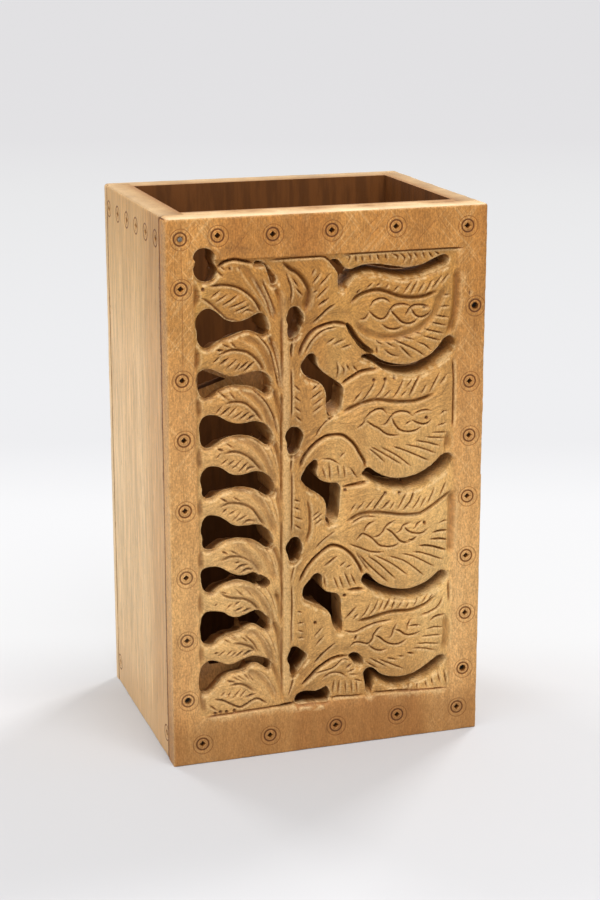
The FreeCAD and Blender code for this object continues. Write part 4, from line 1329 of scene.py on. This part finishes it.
def frontRelief(face, outlines):
    x, z = face["xs"][None, :], face["zs"][:, None]
    for text in (edgeStrokes, leafStrokes, stemStrokes, budStrokes, bigLeafStrokes):
        for row in text.strip().splitlines():
            kind, *points = row.split()
            strike(face, kind, [tuple(float(n) for n in p.split(",")) for p in points])
    for outline in outlines:
        closed = np.vstack([outline, outline[:1]])
        for a, b in zip(closed, closed[1:]):
            for t in np.arange(0, 1, 0.2 / max(np.linalg.norm(b - a), 0.2)):
                px, pz = a + (b - a) * t
                part, away = patch(face, px, pz, 3)
                closer = away < face["gap"][part]
                face["gap"][part] = np.where(closer, away, face["gap"][part])
                rise = (pz - face["zs"][part[0]][:, None]) / np.maximum(away, 0.05)    # 1 straight below a gap
                face["above"][part] = np.where(closer, rise, face["above"][part])
    # the field lies below the border: a crisp step above, soft ones elsewhere
    soft = 0.5 * unevenness(face, 5, 31)
    field = (step(x + 0.7 * soft, 6.1, 7.2) * step(-x - soft, -68.4, -67)
             * step(z + 0 * x, 11.3, 11.9) * step(-z + 0 * x, -117.6, -117.1))
    below = face["above"]
    for _ in range(4):    # evened out, so that the bevel runs smoothly
        below = (below + np.roll(below, 1, 0) + np.roll(below, -1, 0) + np.roll(below, 1, 1) + np.roll(below, -1, 1)) / 5
    below = np.clip(below, 0, 1) * np.where(x < 38, 1, 0.55)
    edge = 0.3 + 0.75 * below + 0.15 * unevenness(face, 2.5, 32)
    chamfer = np.clip(1 - face["gap"] / edge, 0, 1)
    crown = np.exp(-(face["gap"] / 2.2) ** 2)
    hand = 0.07 * unevenness(face, 2.2, 33) + 0.05 * toolMarks(face, 0.45, 1.4, 34)
    face["cut"] = face["cut"] + field * (0.35 + 0.5 * crown + hand - 0.07 * face["lit"]) + (0.3 + 0.7 * below) * chamfer
    chipped = step(unevenness(face, 0.8, 35) + 0.5 * unevenness(face, 0.3, 36), -0.35, 0.15)    # pale torn rims round the gaps
    rimAt = np.where(below > 0.4, abs(face["gap"] - edge), face["gap"])    # below a gap it follows the bevel's edge
    face["pale"] = chipped * np.clip(1.3 - rimAt / 0.28, 0, 1)
    # painted shade in a band along the lower lip of each gap, under the edge above
    lipBand = below * np.clip(1.4 - face["gap"] / (0.5 * edge), 0, 1)
    face["dark"] = np.maximum(face["dark"], np.where(x < 38, 0.62, 0.4) * lipBand * (0.8 + 0.3 * unevenness(face, 0.6, 37)))
    face["field"] = field
    # painted highlight along the stem's rod
    rubbed = np.exp(-((x - 27.3) / 0.8) ** 2) * step(z, 14, 18) * step(-z, -108, -102) * np.clip(1 - 3 * face["dark"], 0, 1)
    # and the low left is painted paler
    paintedPaler = step(-x, -30, -18) * step(-z, -95, -60) * step(z, 10, 16) * (field + (1 - field) * 0.5 * step(-z, -60, -40))
    face["lit"] = np.maximum(face["lit"], np.maximum(0.55 * rubbed, 0.28 * paintedPaler))
    for x0, z0 in frontMarks + frontPinned:
        scribe(face, x0, z0, waxedFront["rings"])
    for x0, z0 in frontMarks:
        prick(face, x0, z0)
    for number, (x0, z0) in enumerate(frontPinned):
        pinPit(face, x0, z0, *((0.2, 0.45) if number == 0 else (1.05,)))


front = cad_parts["front_panel"]
rear = [o for o in outlinesAt(front, -21, (-37.5, 0)) if size2d(o).max() < 40]
floors = [o for o in outlinesAt(front, -24.5, (-37.5, 0)) if size2d(o).max() < 40]
brokenHoles = [o for o in rear if len(o) < 6]
through = [o for o in rear if len(o) >= 6]
recesses = [o for o in floors if len(o) >= 6 and size2d(o).max() > 6]
notches = [o for o in floors if len(o) >= 6 and size2d(o).max() <= 6]    # one runs into the gap beside it

face = newFace(75, 127, 0.2)
face["lip"] = 5.2
frontRelief(face, through + recesses + [o for o in notches if o[0, 1] > 100])
for outline in notches:
    low, high = outline.min(0), outline.max(0)
    part = (slice(int(low[1] / 0.2), int(high[1] / 0.2) + 2), slice(int(low[0] / 0.2), int(high[0] / 0.2) + 2))
    px, pz = (a.ravel() for a in np.meshgrid(face["xs"][part[1]], face["zs"][part[0]]))
    inside = insideOf(outline, px, pz).reshape(face["cut"][part].shape)
    away = nearestOn(outline, px, pz)[1].reshape(inside.shape)
    hollow = 4.9 if low[1] < 100 else 1.2 + 1.5 * np.sqrt(np.clip(away / 0.6, 0, 1))    # the upper one is scooped
    face["cut"][part] = np.where(inside, hollow, face["cut"][part])
depth = depthOf(face, 0.6, 0.6, 0.3)
face["lit"] = np.maximum(face["lit"], face["pale"])
board = carveBoard("front_board", face, depth, frontBoard, through, recesses, brokenHoles, triangles=185000)
for wood in (frontWood, rimWood):
    board.data.materials.append(wood)
finishFace(board, face, frontMarks + frontPinned, lambda p: p + np.array([-37.5, -29.5, 0]))
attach(board, "root")
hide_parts("front_panel")
print("front board done")

# ---- side boards

sideBoard = {"width": 51.2, "height": 127, "wall": 5.6, "lip": 5.6, "inset": 0, "pitch": 0.25}


def makeSide(name, node, firstMark, place):
    marks = [(firstMark + 9 * i, 121.5) for i in range(6)] + [(2.1, 5.7), (49.1, 5.7)]
    face = newFace(51.2, 127, sideBoard["pitch"])
    for x, z in marks:
        scribe(face, x, z, waxedSide["rings"])
        prick(face, x, z, 0.95)
    x, z = face["xs"][None, :], face["zs"][:, None]
    patchy = unevenness(face, 6, 41)
    joint = (0.9 + 0.1 * patchy) * np.clip(1.9 - (51.2 - x) / 0.45, 0, 1)    # glue line behind the front board
    second = 0.45 * np.clip(1.4 - abs(x - 49.8 - 0.01 * (z - 60)) / 0.25, 0, 1) * step(z + 9 * patchy, 70, 100)
    stained = np.maximum(step(z, 88, 92) - step(z, 111, 114), step(z, 55, 58) - step(z, 71, 74))
    rear = np.clip(1.7 - x / 0.5, 0, 1) * (0.35 + 0.25 * patchy + 0.4 * stained)
    face["dark"] = np.maximum.reduce([face["dark"], joint, second, rear])
    depth = depthOf(face, 0.6, 0.6, 0.3)
    face["wearAndGlint"] *= step(z - 125 + 0 * x, 0, 1)
    board = carveBoard(name, face, depth, sideBoard, triangles=70000)
    for wood in (sideWood, rimDark):
        board.data.materials.append(wood)
    finishFace(board, face, marks, place)
    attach(board, "root")
    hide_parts(node)


makeSide("left_board", "left_panel", 2.1, lambda p: np.stack([p[:, 1] - 37.5, 26.9 - p[:, 0], p[:, 2]], 1))
makeSide("right_board", "right_panel", 4.1, lambda p: np.stack([37.5 - p[:, 1], p[:, 0] - 24.3, p[:, 2]], 1))
print("side boards done")

# ---- back board

backBoard = {"width": 75, "height": 127, "wall": 7.5, "lip": 2.6, "inset": 5.6, "lapRound": 0.3,
             "corners": {"left": 0.8, "right": 0.8}}
backPinned = [(3.3, 122.5), (3.5, 16), (71.5, 122.5), (71.5, 16)]
face = newFace(75, 127, 0.5)
face["lip"] = 2.6
for x0, z0 in backPinned:
    pinPit(face, x0, z0, 1.05)
depth = depthOf(face, 0.6, 0.6, 0.3)
board = carveBoard("back_board", face, depth, backBoard, triangles=40000)
for wood in (sideWood, rimDark):
    board.data.materials.append(wood)
finishFace(board, face, [], lambda p: np.stack([37.5 - p[:, 0], 29.5 - p[:, 1], p[:, 2]], 1))
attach(board, "root")
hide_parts("back_panel")

# ---- base board, glued between the four

low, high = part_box("base_panel")
bpy.ops.object.select_all(action="DESELECT")
bpy.ops.mesh.primitive_cube_add(size=1, location=(0, 0, 0))
base = bpy.context.object
base.name = base.data.name = "base_board"
bpy.ops.object.mode_set(mode="EDIT")
bpy.ops.mesh.select_all(action="SELECT")
bpy.ops.transform.resize(value=tuple(high - low))
bpy.ops.transform.translate(value=tuple((low + high) / 2))
bpy.ops.mesh.bevel(offset=0.3 * mm, segments=2, affect="EDGES")
bpy.ops.object.mode_set(mode="OBJECT")
bpy.ops.object.shade_smooth_by_angle(angle=math.radians(33))
base.data.materials.append(sideWood)
# painted shade: the base, inside the well, is dark unwaxed wood all over
layer = base.data.attributes.new("rawWoodAndShade", "FLOAT", "FACE")
layer.data.foreach_set("value", np.ones(len(base.data.polygons), np.float32))
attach(base, "root")
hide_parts("base_panel")

for name in ("front_pins", "back_pins"):
    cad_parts[name].material_slots[0].material = pinSteel
print("back, base and pins done")

# ---- floor, light and camera

stage = {"floor": "c5c5c7", "seen": (0.05, 0.95), "world": 0.5, "key": 9.5, "fill": 5.9, "backRight": 7.4, "backLeft": 3.4,
         "bands": ((0, "f2f1f3"), (0.46, "ffffff"), (0.53, "fdfdfe"), (0.565, "efeff1"), (0.6, "efeff1"), (0.85, "eaeaeb"), (1, "e5e4e6"))}

bpy.ops.object.select_all(action="DESELECT")
bpy.ops.mesh.primitive_plane_add(size=14, location=(0, 2, 0))
floor = bpy.context.object
floor.name = "floor"
paper = bpy.data.materials.new("studio_paper_matt")
paper.use_nodes = True
tree = paper.node_tree
tree.nodes.clear()
matt = addNode(tree, "BsdfDiffuse", {"Color": colour(stage["floor"])})
# seen by the camera it is mostly its own pale colour, so that the shadow stays light
here = addNode(tree, "VectorMath", {0: addNode(tree, "TexCoord").outputs["Object"], 1: (0, 2, 0)}, operation="ADD").outputs[0]
behind = addNode(tree, "VectorMath", {0: here, 1: (0.311, 0.95, 0)}, operation="DOT_PRODUCT").outputs["Value"]
paperTone = ramp(tree, spread(tree, behind, -1, 1.2, smooth=False), [(at, colour(c)) for at, c in stage["bands"]])
fromPiece = addNode(tree, "VectorMath", {0: here}, operation="LENGTH").outputs["Value"]
share = sum2(tree, "MAXIMUM", spread(tree, fromPiece, 0.12, 0.33, stage["seen"]), spread(tree, behind, -0.005, 0.05, (0, 0.7)))
glow = addNode(tree, "Emission", {"Color": paperTone, "Strength": 1.0})
seen = addNode(tree, "LightPath").outputs["Is Camera Ray"]
shown = addNode(tree, "MixShader", {0: sum2(tree, "MULTIPLY", seen, share), 1: matt.outputs[0], 2: glow.outputs[0]})
addNode(tree, "OutputMaterial", {"Surface": shown.outputs[0]})
floor.data.materials.append(paper)

world = bpy.data.worlds.new("soft_studio")
bpy.context.scene.world = world
world.use_nodes = True
world.node_tree.nodes["Background"].inputs["Color"].default_value = colour("ffffff")
world.node_tree.nodes["Background"].inputs["Strength"].default_value = stage["world"]


def softLamp(name, place, target, size, power):
    lamp = bpy.data.lights.new(name, "AREA")
    lamp.size = size
    lamp.energy = power
    stand = bpy.data.objects.new(name, lamp)
    bpy.context.scene.collection.objects.link(stand)
    stand.location = place
    stand.rotation_euler = (Vector(target) - Vector(place)).to_track_quat("-Z", "Y").to_euler()


softLamp("key", (0.1, -0.6, 1.1), (0, 0, 0.06), 0.55, stage["key"])
softLamp("fill", (-0.9, -0.5, 0.6), (0, 0, 0.06), 1.3, stage["fill"])
# two small ones behind, whose shadows meet in a point in front
softLamp("back_right", (0.58, 0.47, 1.2), (0, 0, 0.06), 0.25, stage["backRight"])
softLamp("back_left", (-0.32, 0.68, 1.07), (0, 0, 0.06), 0.25, stage["backLeft"])

view = {"place": (-141.3, -439.3, 193.0), "turn": 18.13, "down": 15.51, "focal": 1987.5}
eye = bpy.data.cameras.new("camera")
camera = bpy.data.objects.new("camera", eye)
bpy.context.scene.collection.objects.link(camera)
camera.location = Vector(view["place"]) * mm
camera.rotation_euler = Euler((math.radians(90 - view["down"]), 0, -math.radians(view["turn"])))
eye.sensor_fit = "VERTICAL"
eye.sensor_height = 36
eye.lens = view["focal"] * 36 / 900
eye.clip_start, eye.clip_end = 0.01, 30
bpy.context.scene.camera = camera
bpy.context.scene.view_settings.view_transform = "Standard"
